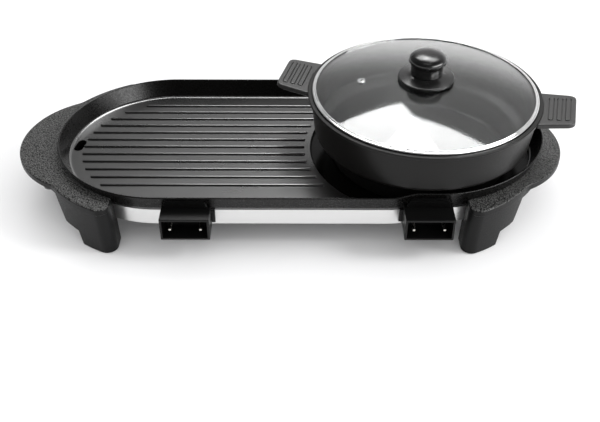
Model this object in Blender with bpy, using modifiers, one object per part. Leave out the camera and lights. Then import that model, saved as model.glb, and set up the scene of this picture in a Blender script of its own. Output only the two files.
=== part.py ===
"""Electric tabletop grill pan with a removable hot pot and a glass lid. Metres, +Z up.

The pan's centre line is Y = 0 while the pieces are made, the surface it stands on is Z = 0,
and one empty shifts all of them so that the origin is the middle of the whole footprint.
"""

import math

import bmesh
import bpy
from mathutils import Vector

# Shared by all pieces
RIM_HEIGHT = 0.078          # surface to the pan's rim
GAP = 0.0003                # left between pieces that touch
OVERRUN = 0.002             # how far a cutter or a root runs past the face it meets
MERGE_DISTANCE = 0.00001
SMOOTH_ANGLE = math.radians(35)

# Pot, cast aluminium with a stepped body; heights are above the rim
POT_X = 0.150
POT_TURN = math.radians(-15)
POT_HEIGHT = 0.060          # pan's rim to the pot's flange
POT_TOP_RADIUS = 0.1370
POT_DRAFT = 0.0050          # how far the upper wall leans in
POT_STEP = 0.0132           # ledge between the wall and the foot
FOOT_DRAFT = 0.0088
POT_LOW_RADIUS = POT_TOP_RADIUS - POT_DRAFT
FOOT_TOP_RADIUS = POT_LOW_RADIUS - POT_STEP
FOOT_RADIUS = FOOT_TOP_RADIUS - FOOT_DRAFT
POT_LOW_HEIGHT = 0.0085
FOOT_TOP_HEIGHT = 0.0035
POT_ROUND = 0.005
FOOT_ROUND = 0.004
POT_WALL = 0.0030
POT_BASE = 0.004
FLANGE_OUT = 0.0038
FLANGE_RADIUS = POT_TOP_RADIUS + FLANGE_OUT
FLANGE_THICKNESS = 0.0035
FLANGE_ROUND = 0.0008
SEAT_EDGE = 0.0046          # flange left outside the rebate that the lid's steel rim drops into
SEAT_RADIUS = FLANGE_RADIUS - SEAT_EDGE
SEAT_DEPTH = 0.0022
SEAT_LEDGE = 0.0040
POT_INNER_TOP_RADIUS = SEAT_RADIUS - SEAT_LEDGE

# Grill pan, cast aluminium: a long tub with two round ends
FLOOR_INSET = 0.0125        # rim's outer edge to the floor's edge
POT_CLEARANCE = 0.0072      # pot's foot to the floor's edge beside it
POT_END_HALF_WIDTH = FOOT_RADIUS + POT_CLEARANCE + FLOOR_INSET   # centre line to the rim's outer edge
NECK_STEP = 0.0043          # how far the wall draws in on each side towards the pot
PAN_HALF_WIDTH = POT_END_HALF_WIDTH + NECK_STEP
GRILL_END_X = -0.1667       # centre of the round end under the ribs
POT_END_OFFSET = 0.0155     # pot's middle to the centre of the end round it
POT_END_X = POT_X + POT_END_OFFSET
POT_END_STRETCH = 0.0068    # how much further that end reaches out than to its sides
POT_END_REACH = POT_END_HALF_WIDTH + POT_END_STRETCH
POT_END_POWER = 1.8         # 2 is an ellipse, less is a leaner curve
NECK_OFFSET = 0.047         # pot's middle back to where the wall starts to draw in and its rim to step up
NECK_X = POT_X - NECK_OFFSET
NECK_LENGTH = 0.034
RIM_STEP = 0.0038
RIM_WALL = 0.0024
RIM_ROUND = 0.0008
PAN_FLARE = 0.009           # how far the wall leans out from shoulder to rim
PAN_WALL_HEIGHT = 0.023     # rim down to the shoulder that sits on the steel skirt
SHOULDER_STEP = 0.0015
PLATEAU_DEPTH = 0.022       # rim down to the ribbed floor
FLOOR_FILLET = 0.002
FLOOR_THICKNESS = 0.004
WELL_STEP = 0.0045          # ribbed floor down to the floor under the pot
WELL_MARGIN = 0.003
WELL_RADIUS = PAN_HALF_WIDTH + WELL_MARGIN
WELL_LEDGE = 0.001
WELL_SLOPE = 0.0015
RIB_PITCH = 0.0162
RIB_OFFSET = 0.0097         # middle of the ribs behind the centre line
RIB_SIDE_MARGIN = 0.0225    # floor's side to the last rib at the least
RIB_COUNT = int(2 * (PAN_HALF_WIDTH - FLOOR_INSET - RIB_SIDE_MARGIN - RIB_OFFSET) / RIB_PITCH) + 1
RIB_WIDTH = 0.0042
RIB_CROWN_WIDTH = 0.0026
RIB_HEIGHT = 0.002
RIB_GRILL_MARGIN = 0.0143   # floor's edge to the ribs' ends
RIB_WELL_MARGIN = 0.0075
DRAIN_MARGIN = 0.0097       # floor's edge to the drain's middle
DRAIN_X = GRILL_END_X - (PAN_HALF_WIDTH - FLOOR_INSET - DRAIN_MARGIN)
DRAIN_Y = 0.004
DRAIN_LENGTH = 0.024
DRAIN_WIDTH = 0.012
DRAIN_TILT = math.radians(-22)
SPOUT_WALL = 0.0015
SPOUT_DROP = 0.003          # how far the spout comes out below the bottom cover
BOSS_RADIUS = 0.0045
BOSS_INSET = 0.028          # rim's outer edge to the cover screws
BOSS_SPACING = 0.205

# Steel skirt and bottom cover
SKIRT_HEIGHT = 0.0206
SKIRT_SHEET = 0.0008
COVER_SHEET = 0.0012
COVER_LIFT = 0.0005         # the cover's underside above the skirt's lower edge
COVER_FLANGE = 0.004
VENT_LENGTH = 0.036
VENT_WIDTH = 0.004
VENT_PITCH = 0.011
VENTS_IN_A_GROUP = 4

# End handles with their legs, mirror images outside; REACH sizes run out from BASE_X
BASE_SHIFT = 0.01305        # pan's middle to halfway between the two end handles
BASE_X = (POT_END_X + POT_END_REACH + GRILL_END_X - PAN_HALF_WIDTH) / 2 - BASE_SHIFT
BAND_REACH = BASE_X - GRILL_END_X   # centre of the arc that the legs follow
BAND_OUT = 0.0225           # pan's side to that arc
BAND_RADIUS = PAN_HALF_WIDTH + BAND_OUT
BULGE_OUT = 0.0796          # that arc's centre to the centre of the round grip
BULGE_REACH = BAND_REACH + BULGE_OUT
BULGE_LESS = 0.0529         # how much smaller the grip's arc is
BULGE_RADIUS = BAND_RADIUS - BULGE_LESS
WAIST_FILLET = 0.030
TIP_OUT = 0.0512
TIP_REACH = BAND_REACH + TIP_OUT
TIP_FILLET = 0.012
WING_DROP = 0.012           # rim to the handle's top face
WING_THICKNESS = 0.008
WING_EDGE = 0.0015
WING_EDGE_SHARES = ((1, 0), (1 / 3, 1 / 3), (0, 1))   # below the top face, and drawn in
RECESS_DEPTH = 0.0045
RECESS_RIM = 0.005
RECESS_HALF_WIDTH = 0.066
APRON_THICKNESS = 0.011
APRON_HEIGHT = 0.018
APRON_SWEEP = math.radians(44)
LEG_SETBACK = 0.0005        # leg's outer face inside the handle's edge at the top
LEG_DRAFT = 0.0025          # how far the outer face leans in by the foot
LEG_TUCK = 0.012            # legs' inner face inside the pan's side
LEG_INNER_RADIUS = PAN_HALF_WIDTH - LEG_TUCK
LEG_TIP_LEAN = 0.0026
LEG_CORNER = 0.004
LEG_TOP_ANGLE = math.radians(37)
LEG_WAIST_ANGLE = math.radians(42)
LEG_LEDGE_ANGLE = math.radians(51)
LEG_FOOT_ANGLE = math.radians(52.5)
LEG_LEDGE_HEIGHT = 0.0205
LEG_LEDGE_RISE = 0.0015
FOOT_LIFT = 0.0012          # leg's end above the surface, made up by the rubber pad
PAD_RADIUS = 0.0075
PAD_HEIGHT = 0.0032
PAD_CHAMFER = 0.0006
PAD_ANGLE = math.radians(61)

# Sockets for the two control leads, with their pins
GRILL_SOCKET_OFFSET = 0.0357
POT_SOCKET_OFFSET = 0.0025
GRILL_SOCKET_X = GRILL_END_X + GRILL_SOCKET_OFFSET
POT_SOCKET_X = POT_X - POT_SOCKET_OFFSET
SOCKET_WIDTH = 0.0565
SOCKET_HEIGHT = 0.029
SOCKET_OUT = 0.019          # pan's side to the socket's open front
SOCKET_REACH = max(PAN_HALF_WIDTH, POT_END_HALF_WIDTH) + SOCKET_OUT
SOCKET_DROP = 0.0165        # rim to the socket's top
SOCKET_WALL = 0.0025
SOCKET_BACK = 0.005
SOCKET_EDGE = 0.0008
SHIELD_WIDTH = 0.050
SHIELD_DROP = 0.0035        # rim to the top of the upright shield
SHIELD_THICKNESS = 0.002
SHIELD_CORNER = 0.010
TAB_WIDTH = 0.0045
TAB_THICKNESS = 0.002
TAB_HEIGHT = 0.017
PIN_RADIUS = 0.002
PIN_SPACING = 0.035
PIN_RECESS = 0.004          # pin's tip inside the open front
PIN_NOSE = 0.0008
INSULATOR_RADIUS = 0.0034
INSULATOR_LENGTH = 0.0068
PROBE_RADIUS = 0.0034
PROBE_BORE = 0.0023
PROBE_LENGTH = 0.018

# Tubular heaters under the pan
HEATER_RADIUS = 0.0033
HEATER_BEND = 0.016
HEATER_SETBACK = 0.0115     # skirt's outer face to the heaters' ends
GRILL_HEATER_HALF_LENGTH = 0.105
GRILL_HEATER_MARGIN = 0.062   # pan's side to the loop's long legs
GRILL_HEATER_HALF_WIDTH = PAN_HALF_WIDTH - GRILL_HEATER_MARGIN
GRILL_HEATER_OFFSET = 0.007
GRILL_HEATER_X = GRILL_SOCKET_X - GRILL_HEATER_OFFSET
POT_HEATER_MARGIN = 0.030     # pot foot's edge to the ring
POT_HEATER_RADIUS = FOOT_RADIUS - POT_HEATER_MARGIN
POT_HEATER_START = math.radians(-60)

# Screws
SCREW_RADIUS = 0.0015
SCREW_HEAD_RADIUS = 0.0024
SCREW_HEAD = 0.0016
SCREW_RIM = 0.0005
COVER_SCREW_LENGTH = 0.009
HANDLE_SCREW_LENGTH = 0.009
SOCKET_SCREW_DEPTH = 0.0042   # into the socket's back wall
POT_SCREW_LENGTH = 0.0047
KNOB_SCREW_LENGTH = 0.038
KNOB_SCREW_HEAD_RADIUS = 0.0045
HANDLE_SCREW_ANGLE = math.radians(20)
HANDLE_SCREW_DROP = 0.031
SOCKET_SCREW_SPACING = 0.047
SOCKET_SCREW_DROP = 0.030

# Grease tray and its rails, under the drain
TRAY_LENGTH = 0.100
TRAY_HALF_WIDTH = 0.035
TRAY_HEIGHT = 0.0165
TRAY_WALL = 0.0015
TRAY_LIP = 0.0035
TRAY_LIP_THICKNESS = 0.0012
TRAY_DROP = 0.0475          # rim to the tray's top
TRAY_DRAIN_OFFSET = 0.046   # drain to the tray's outer end
TRAY_PULL = 0.010
TRAY_CORNER = 0.008
RAIL_SHEET = 0.001
RAIL_LENGTH = 0.066
RAIL_FLANGE = 0.008
RAIL_LEDGE = 0.0028
RAIL_OFFSET = 0.0015
RAIL_START_X = DRAIN_X - RAIL_OFFSET

# Pot handles, moulded, each capped over a tang of the pot
POT_HANDLE_OUT = 0.0372     # these run out from the flange's edge
TANG_OUT = 0.0192
POT_SCREW_OUT = 0.0112
GRIP_RIB_OUT = 0.0187       # middle rib
POT_HANDLE_RISE = math.radians(6.5)
POT_HANDLE_HALF_WIDTH = 0.0325
POT_HANDLE_ROOT_HALF_WIDTH = 0.0368
POT_HANDLE_THICKNESS = 0.006
POT_HANDLE_DROP = 0.001     # flange to the handle's top
POT_HANDLE_CORNER = 0.009
POT_HANDLE_EDGE = 0.001
TANG_HALF_WIDTH = 0.017
TANG_THICKNESS = 0.0028
GRIP_RIB_COUNT = 3
GRIP_RIB_PITCH = 0.0095
GRIP_RIB_LENGTH = 0.050
GRIP_RIB_WIDTH = 0.0046
GRIP_RIB_HEIGHT = 0.0009
POT_SCREW_SPACING = 0.020

# Lid: domed glass in a rolled steel rim
LID_CLEARANCE = 0.0007
LID_RADIUS = SEAT_RADIUS - LID_CLEARANCE
LID_SHEET = 0.0007
LID_LIP = 0.0045
GLASS_THICKNESS = 0.003
GLASS_EDGE_CLEARANCE = 0.0005
GLASS_RISE = 0.0162
GLASS_RINGS = 6
KNOB_HOLE_RADIUS = 0.0036
VENT_INSET = 0.0586         # lid's edge to the vent
VENT_REACH = LID_RADIUS - VENT_INSET
VENT_ANGLE = math.radians(178)
VENT_BORE = 0.0017
VENT_BARREL = 0.0029
VENT_FLANGE = 0.0048
VENT_FLANGE_THICKNESS = 0.0008

# Knob, its seat on the glass and the seat under it
KNOB_SEAT_RADIUS = 0.034
KNOB_SEAT_EDGE = 0.0035
KNOB_SEAT_HEIGHT = 0.0068
KNOB_NECK_RADIUS = 0.0190
KNOB_RADIUS = 0.0225
KNOB_NECK_HEIGHT = 0.0125
KNOB_EDGE_HEIGHT = 0.017
KNOB_HEIGHT = 0.0275
KNOB_PILOT_DEPTH = 0.018
LOWER_SEAT_RADIUS = 0.0205
LOWER_SEAT_HEIGHT = 0.0135
LOWER_SEAT_ROUND = 0.004
WASHER_RADIUS = 0.0185
WASHER_THICKNESS = 0.0012

# Facets
POT_STEPS = 48
KNOB_STEPS = 24
ARC_STEPS = 28
NECK_STEPS = 5
CORNER_STEPS = 4
SMALL_STEPS = 12
SLOT_STEPS = 4
SCREW_STEPS = 8
HEATER_STEPS = 32

# Heights and places worked out from the sizes above
PLATEAU_Z = RIM_HEIGHT - PLATEAU_DEPTH
WELL_Z = PLATEAU_Z - WELL_STEP
PLATEAU_UNDERSIDE = PLATEAU_Z - FLOOR_THICKNESS
WELL_UNDERSIDE = WELL_Z - FLOOR_THICKNESS
SHOULDER_Z = RIM_HEIGHT - PAN_WALL_HEIGHT
SKIRT_TOP = SHOULDER_Z - GAP
SKIRT_BOTTOM = SKIRT_TOP - SKIRT_HEIGHT
COVER_BOTTOM = SKIRT_BOTTOM + COVER_LIFT
COVER_TOP = COVER_BOTTOM + COVER_SHEET
SKIRT_INSET = PAN_FLARE
COVER_INSET = SKIRT_INSET + SKIRT_SHEET + GAP
WELL_INSET = FLOOR_INSET + WELL_LEDGE
WING_TOP = RIM_HEIGHT - WING_DROP
WING_BOTTOM = WING_TOP - WING_THICKNESS
PIN_Z = WELL_UNDERSIDE - GAP - HEATER_RADIUS
GRILL_HEATER_Z = PLATEAU_UNDERSIDE - GAP - HEATER_RADIUS
SOCKET_TOP = RIM_HEIGHT - SOCKET_DROP
SOCKET_BOTTOM = SOCKET_TOP - SOCKET_HEIGHT
TRAY_TOP = RIM_HEIGHT - TRAY_DROP
FLANGE_Z = RIM_HEIGHT + POT_HEIGHT
SEAT_Z = FLANGE_Z - SEAT_DEPTH
POT_BOTTOM = WELL_Z + GAP
HANDLE_TOP = FLANGE_Z - POT_HANDLE_DROP
HANDLE_BOTTOM = HANDLE_TOP - POT_HANDLE_THICKNESS
GLASS_RADIUS = LID_RADIUS - LID_SHEET - GLASS_EDGE_CLEARANCE
GLASS_EDGE_Z = SEAT_Z + GAP + LID_SHEET + GAP + GLASS_THICKNESS
GLASS_TOP = GLASS_EDGE_Z + GLASS_RISE
DOME_RADIUS = (GLASS_RADIUS ** 2 + GLASS_RISE ** 2) / (2 * GLASS_RISE)
POT_HANDLES = {"left": POT_TURN + math.pi, "right": POT_TURN}
SIDES = {"left": -1, "right": 1}

FINISHES = {
    "coated_cast": ((0.030, 0.029, 0.029), 0.42, 0.35),
    "satin_steel": ((0.72, 0.72, 0.71), 0.28, 1.0),
    "dark_steel": ((0.20, 0.20, 0.20), 0.45, 0.9),
    "heater_steel": ((0.26, 0.25, 0.22), 0.40, 0.9),
    "grained_plastic": ((0.045, 0.045, 0.046), 0.55, 0.0),
    "black_plastic": ((0.012, 0.012, 0.012), 0.35, 0.0),
    "pin_metal": ((0.78, 0.76, 0.70), 0.22, 1.0),
    "ceramic": ((0.80, 0.77, 0.70), 0.50, 0.0),
    "rubber": ((0.02, 0.02, 0.02), 0.85, 0.0),
    "screw_steel": ((0.62, 0.62, 0.62), 0.30, 1.0),
    "pot_coating": ((0.045, 0.044, 0.043), 0.38, 0.35),
    "pot_handle_plastic": ((0.16, 0.155, 0.155), 0.55, 0.0),
    "clear_glass": ((0.85, 0.88, 0.88), 0.05, 0.0),
    "bright_steel": ((0.82, 0.82, 0.82), 0.12, 1.0),
    "gloss_black": ((0.010, 0.010, 0.010), 0.15, 0.0),
    "silicone": ((0.55, 0.55, 0.55), 0.60, 0.0),
}


def clear_scene():
    for obj in list(bpy.data.objects):
        bpy.data.objects.remove(obj, do_unlink=True)


def new_collection(name):
    made = bpy.data.collections.new(name)
    bpy.context.scene.collection.children.link(made)
    return made


clear_scene()
PARTS = new_collection("hot_pot_grill")
CUTTERS = new_collection("cutters")
ORIGIN = bpy.data.objects.new("footprint_middle", None)
PARTS.objects.link(ORIGIN)


def material_for(name, finish):
    color, roughness, metallic = FINISHES[finish]
    material = bpy.data.materials.new(name + "_" + finish)
    material.use_nodes = True
    shader = material.node_tree.nodes["Principled BSDF"]
    shader.inputs["Base Color"].default_value = (*color, 1)
    shader.inputs["Roughness"].default_value = roughness
    shader.inputs["Metallic"].default_value = metallic
    if finish == "clear_glass":
        shader.inputs["Transmission Weight"].default_value = 1
    return material


def smooth(mesh):
    mesh.shade_smooth()
    mesh.set_sharp_from_angle(angle=SMOOTH_ANGLE)


def empty(name, location):
    obj = bpy.data.objects.new(name, None)
    obj.location = location
    obj.parent = ORIGIN
    PARTS.objects.link(obj)
    return obj


def part(name, data, finish, location=(0, 0, 0), parent=None):
    """A named sub-part with its own material, under the footprint's empty or another."""
    obj = bpy.data.objects.new(name, data)
    obj.location = location
    obj.parent = parent or ORIGIN
    obj.data.materials.append(material_for(name, finish))
    PARTS.objects.link(obj)
    return obj


def tool(name, data, location=(0, 0, 0), parent=None):
    """A cutter, or a lump to be joined on, which is not a part itself."""
    obj = bpy.data.objects.new(name, data)
    obj.location = location
    obj.parent = parent or ORIGIN
    obj.hide_render = True
    obj.display_type = "WIRE"
    CUTTERS.objects.link(obj)
    return obj


def combine(obj, other, operation):
    modifier = obj.modifiers.new(other.name, "BOOLEAN")
    modifier.operation = operation
    modifier.object = other


def cut(obj, *tools):
    for other in tools:
        combine(obj, other, "DIFFERENCE")


def join(obj, *tools):
    for other in tools:
        combine(obj, other, "UNION")


def mesh_of(bm, name):
    mesh = bpy.data.meshes.new(name)
    bm.to_mesh(mesh)
    bm.free()
    smooth(mesh)
    return mesh


def add_loft(bm, sections, ring=False):
    """Bridges outlines with as many points each; a ring joins the last one to the first."""
    loops = [[bm.verts.new(point) for point in section] for section in sections]
    pairs = list(zip(loops, loops[1:]))
    if ring:
        pairs.append((loops[-1], loops[0]))
    count = len(loops[0])
    made = []
    for low, high in pairs:
        for i in range(count):
            j = (i + 1) % count
            made.append(bm.faces.new((low[i], low[j], high[j], high[i])))
    if not ring:
        made += [bm.faces.new(loops[0]), bm.faces.new(loops[-1])]
    bmesh.ops.recalc_face_normals(bm, faces=made)


def loft(name, sections, ring=False):
    bm = bmesh.new()
    add_loft(bm, sections, ring)
    return mesh_of(bm, name)


def prisms(name, outlines, low, high):
    """Straight prisms between two heights, one for each flat outline."""
    bm = bmesh.new()
    for outline in outlines:
        add_loft(bm, [at_height(outline, low), at_height(outline, high)])
    return mesh_of(bm, name)


def at_height(outline, z):
    return [(x, y, z) for x, y in outline]


def box(name, low, high):
    bm = bmesh.new()
    bmesh.ops.create_cube(bm, size=1)
    for vert in bm.verts:
        for axis in range(3):
            middle = (low[axis] + high[axis]) / 2
            vert.co[axis] = middle + vert.co[axis] * (high[axis] - low[axis])
    return mesh_of(bm, name)


def rods(name, ends, radius, steps=SMALL_STEPS):
    """Straight round rods between pairs of points, as one set of cutters or lumps."""
    bm = bmesh.new()
    for start, end in ends:
        start, end = Vector(start), Vector(end)
        made = bmesh.ops.create_cone(
            bm, cap_ends=True, segments=steps, radius1=radius, radius2=radius, depth=(end - start).length
        )
        turn = (end - start).to_track_quat("Z", "Y").to_matrix()
        for vert in made["verts"]:
            vert.co = turn @ vert.co + (start + end) / 2
    return mesh_of(bm, name)


def turned(name, profile, finish, location=(0, 0, 0), steps=POT_STEPS, parent=None):
    """A round part: the closed profile runs down its outer side and back up its inner one."""
    bm = bmesh.new()
    verts = [bm.verts.new((radius, 0, z)) for radius, z in profile]
    for a, b in zip(verts, verts[1:]):
        bm.edges.new((a, b))
    if min(profile[0][0], profile[-1][0]) > 0:
        bm.edges.new((verts[-1], verts[0]))
    mesh = bpy.data.meshes.new(name)
    bm.to_mesh(mesh)
    bm.free()
    obj = part(name, mesh, finish, location, parent)
    turn = obj.modifiers.new("turn", "SCREW")
    turn.steps = turn.render_steps = steps
    turn.use_merge_vertices = True
    turn.merge_threshold = MERGE_DISTANCE
    turn.use_smooth_shade = True
    return obj


def arc(x, y, radius, start, end, steps):
    """Points on an arc, ends included, angles in radians."""
    found = []
    for i in range(steps + 1):
        angle = start + (end - start) * i / steps
        found.append((x + radius * math.cos(angle), y + radius * math.sin(angle)))
    return found


def circle(x, y, radius):
    return arc(x, y, radius, 0, 2 * math.pi, SMALL_STEPS)[:-1]


def soften(corners, steps=CORNER_STEPS, closed=True):
    """Rounds each corner (x, y, reach): the line leaves it reach before and joins reach after."""
    points = []
    last = len(corners) - 1
    for i, (x, y, reach) in enumerate(corners):
        if reach == 0 or (not closed and i in (0, last)):
            points.append((x, y))
            continue
        here = Vector((x, y))
        before = (Vector(corners[i - 1][:2]) - here).normalized() * reach
        after = (Vector(corners[(i + 1) % len(corners)][:2]) - here).normalized() * reach
        for k in range(steps + 1):
            t = k / steps
            point = here + before * (1 - t) ** 2 + after * t ** 2
            points.append((point.x, point.y))
    return points


def rounded_box(half_length, half_width, corner):
    """A rectangle about the origin with round corners."""
    sides = ((1, -1), (1, 1), (-1, 1), (-1, -1))
    return soften([(sx * half_length, sy * half_width, corner) for sx, sy in sides])


def obround(x, y, length, width, angle=0):
    """A slot shape, long way along its angle."""
    radius = width / 2
    reach = length / 2 - radius
    points = arc(reach, 0, radius, -math.pi / 2, math.pi / 2, SLOT_STEPS)
    points += arc(-reach, 0, radius, math.pi / 2, 1.5 * math.pi, SLOT_STEPS)
    return [
        (x + a * math.cos(angle) - b * math.sin(angle), y + a * math.sin(angle) + b * math.cos(angle))
        for a, b in points
    ]


def circles_meet(first, radius_1, second, radius_2):
    """Where two circles with centres on the X axis cross, on the +Y side."""
    apart = second - first
    along = (apart ** 2 + radius_1 ** 2 - radius_2 ** 2) / (2 * apart)
    return first + along, math.sqrt(radius_1 ** 2 - along ** 2)


def neck_share(x):
    """0 along the grill end, 1 round the pot end, eased over the neck between them."""
    share = min(max((x - NECK_X) / NECK_LENGTH, 0), 1)
    return share * share * (3 - 2 * share)


def half_width(x):
    """Centre line to the rim's outer edge, along the straight sides and the neck."""
    return PAN_HALF_WIDTH + (POT_END_HALF_WIDTH - PAN_HALF_WIDTH) * neck_share(x)


def edge_y(x, inset):
    """Half width of the pan's outline at x, drawn in by inset."""
    if x < GRILL_END_X:
        return math.sqrt((PAN_HALF_WIDTH - inset) ** 2 - (x - GRILL_END_X) ** 2)
    if x > POT_END_X:
        share = (x - POT_END_X) / (POT_END_REACH - inset)
        return (POT_END_HALF_WIDTH - inset) * (1 - share ** POT_END_POWER) ** (1 / POT_END_POWER)
    return half_width(x) - inset


def pot_end_curve(inset):
    """The end round the pot, from front to back."""
    reach, width = POT_END_REACH - inset, POT_END_HALF_WIDTH - inset
    curve = []
    for x, y in arc(0, 0, 1, -math.pi / 2, math.pi / 2, ARC_STEPS):
        along = max(x, 0) ** (2 / POT_END_POWER) * reach
        across = math.copysign(abs(y) ** (2 / POT_END_POWER), y) * width
        curve.append((POT_END_X + along, across))
    return curve


def neck_side(inset, start=NECK_X):
    """Front side from start to the pot end's curve, towards +X."""
    stations = [start] if start < NECK_X else []
    stations += [NECK_X + NECK_LENGTH * i / NECK_STEPS for i in range(NECK_STEPS + 1)]
    return [(x, inset - half_width(x)) for x in stations]


def pan_outline(inset):
    """The pan seen from above, its outer edge drawn in by inset."""
    front = neck_side(inset)
    back = [(x, -y) for x, y in reversed(front)]
    grill_end = arc(GRILL_END_X, 0, PAN_HALF_WIDTH - inset, math.pi / 2, 1.5 * math.pi, ARC_STEPS)
    return front + pot_end_curve(inset) + back + grill_end


def pan_section(inset, z):
    return at_height(pan_outline(inset), z)


def rim_section(inset, z):
    """A section that follows the rim's step up round the pot."""
    return [(x, y, z + RIM_STEP * neck_share(x)) for x, y in pan_outline(inset)]


def well_outline(inset, radius):
    """The pan's outline to the right of the arc that ends the ribbed floor."""
    width = PAN_HALF_WIDTH - inset
    start = POT_X - math.sqrt(radius ** 2 - width ** 2)
    front = neck_side(inset, start)
    back = [(x, -y) for x, y in reversed(front)]
    half_sweep = math.asin(width / radius)
    edge = arc(POT_X, 0, radius, math.pi - half_sweep, math.pi + half_sweep, ARC_STEPS)
    return front + pot_end_curve(inset) + back + edge[1:-1]


def well_tools():
    """The lump under the pot end and the cutter that sinks its floor."""
    under = well_outline(WELL_INSET, WELL_RADIUS + FLOOR_THICKNESS)
    lump = prisms("well_lump", [under], WELL_UNDERSIDE, PLATEAU_UNDERSIDE + OVERRUN)
    sink = loft("well_sink", [
        at_height(well_outline(WELL_INSET + WELL_SLOPE, WELL_RADIUS - WELL_SLOPE), WELL_Z),
        at_height(well_outline(WELL_INSET, WELL_RADIUS), PLATEAU_Z),
        at_height(well_outline(WELL_INSET, WELL_RADIUS), PLATEAU_Z + OVERRUN),
    ])
    return tool("well_lump", lump), tool("well_sink", sink)


def rib_lines():
    """(start, end, y) of each rib, between one arc inside the floor's edge and one round the pot."""
    grill_arc = PAN_HALF_WIDTH - FLOOR_INSET - RIB_GRILL_MARGIN
    pot_arc = WELL_RADIUS + RIB_WELL_MARGIN
    for i in range(RIB_COUNT):
        y = RIB_OFFSET + (i - (RIB_COUNT - 1) / 2) * RIB_PITCH
        start = GRILL_END_X - math.sqrt(grill_arc ** 2 - y ** 2)
        end = POT_X - math.sqrt(pot_arc ** 2 - y ** 2)
        yield start, end, y


def ribs():
    bm = bmesh.new()
    for start, end, y in rib_lines():
        middle, length = (start + end) / 2, end - start
        drawn_in = RIB_WIDTH - RIB_CROWN_WIDTH
        foot = obround(middle, y, length, RIB_WIDTH)
        crown = obround(middle, y, length - drawn_in, RIB_CROWN_WIDTH)
        add_loft(bm, [
            at_height(foot, PLATEAU_Z - RIB_HEIGHT),
            at_height(foot, PLATEAU_Z),
            at_height(crown, PLATEAU_Z + RIB_HEIGHT),
        ])
    return mesh_of(bm, "ribs")


def boss_places():
    """(x, y, height it grows into) of each screw boss under the pan."""
    for x in (-BOSS_SPACING, 0, BOSS_SPACING):
        root = (WELL_UNDERSIDE if x > POT_X else PLATEAU_UNDERSIDE) + OVERRUN
        for side in (-1, 1):
            yield x, side * edge_y(x, BOSS_INSET), root


def grill_pan():
    lower_inset = PAN_FLARE + SHOULDER_STEP
    body = loft("grill_pan", [
        pan_section(lower_inset, PLATEAU_UNDERSIDE),
        pan_section(lower_inset, SHOULDER_Z),
        pan_section(PAN_FLARE, SHOULDER_Z),
        rim_section(0, RIM_HEIGHT - RIM_ROUND),
        rim_section(RIM_ROUND, RIM_HEIGHT),
        rim_section(RIM_WALL - RIM_ROUND, RIM_HEIGHT),
        rim_section(RIM_WALL, RIM_HEIGHT - RIM_ROUND),
        pan_section(FLOOR_INSET - FLOOR_FILLET, PLATEAU_Z + FLOOR_FILLET),
        pan_section(FLOOR_INSET, PLATEAU_Z),
    ])
    pan = part("grill_pan", body, "coated_cast")
    lump, sink = well_tools()
    spout_outline = obround(DRAIN_X, DRAIN_Y, DRAIN_LENGTH + 2 * SPOUT_WALL, DRAIN_WIDTH + 2 * SPOUT_WALL,
                            math.pi / 2 + DRAIN_TILT)
    spout = prisms("spout", [spout_outline], COVER_BOTTOM - SPOUT_DROP, PLATEAU_UNDERSIDE + OVERRUN)
    bosses = rods("bosses", [((x, y, COVER_TOP + GAP), (x, y, root)) for x, y, root in boss_places()],
                  BOSS_RADIUS)
    join(pan, lump, tool("ribs", ribs()), tool("spout", spout), tool("bosses", bosses))
    drain_outline = obround(DRAIN_X, DRAIN_Y, DRAIN_LENGTH, DRAIN_WIDTH, math.pi / 2 + DRAIN_TILT)
    drain = prisms("drain", [drain_outline], COVER_BOTTOM - SPOUT_DROP - OVERRUN, PLATEAU_Z + OVERRUN)
    pilot_top = COVER_TOP + GAP + COVER_SCREW_LENGTH
    pilots = rods("cover_pilots", [((x, y, COVER_TOP - OVERRUN), (x, y, pilot_top))
                                   for x, y, _ in boss_places()], SCREW_RADIUS + GAP)
    cut(pan, sink, tool("drain", drain), tool("cover_pilots", pilots))


def steel_skirt():
    sheet = loft("steel_skirt", [
        pan_section(SKIRT_INSET, SKIRT_BOTTOM),
        pan_section(SKIRT_INSET, SKIRT_TOP),
        pan_section(SKIRT_INSET + SKIRT_SHEET, SKIRT_TOP),
        pan_section(SKIRT_INSET + SKIRT_SHEET, SKIRT_BOTTOM),
    ], ring=True)
    skirt = part("steel_skirt", sheet, "satin_steel")
    cut(skirt, SKIRT_HOLES["insulators"], SKIRT_HOLES["probes"], SKIRT_HOLES["screws"])


def bottom_cover():
    dish = loft("bottom_cover", [
        pan_section(COVER_INSET, COVER_BOTTOM),
        pan_section(COVER_INSET, COVER_BOTTOM + COVER_FLANGE),
        pan_section(COVER_INSET + COVER_SHEET, COVER_BOTTOM + COVER_FLANGE),
        pan_section(COVER_INSET + COVER_SHEET, COVER_TOP),
    ])
    cover = part("bottom_cover", dish, "dark_steel")
    wall = SPOUT_WALL + GAP
    drain = obround(DRAIN_X, DRAIN_Y, DRAIN_LENGTH + 2 * wall, DRAIN_WIDTH + 2 * wall,
                    math.pi / 2 + DRAIN_TILT)
    vents = []
    for middle in (GRILL_HEATER_X, POT_X):
        for i in range(VENTS_IN_A_GROUP):
            x = middle + (i - (VENTS_IN_A_GROUP - 1) / 2) * VENT_PITCH
            vents.append(obround(x, 0, VENT_LENGTH, VENT_WIDTH, math.pi / 2))
    screws = [circle(x, y, SCREW_RADIUS + GAP) for x, y, _ in boss_places()]
    openings = prisms("cover_openings", [drain, *vents, *screws], COVER_BOTTOM - OVERRUN, COVER_TOP + OVERRUN)
    cut(cover, tool("cover_openings", openings))


def pot_envelope():
    """The flange with the gap round it, which the pot handles' roots are cut by."""
    ends = [(POT_X, 0, HANDLE_BOTTOM - POT_HANDLE_THICKNESS), (POT_X, 0, FLANGE_Z + POT_HANDLE_THICKNESS)]
    return tool("pot_envelope", rods("pot_envelope", [ends], FLANGE_RADIUS + GAP, POT_STEPS))


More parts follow.
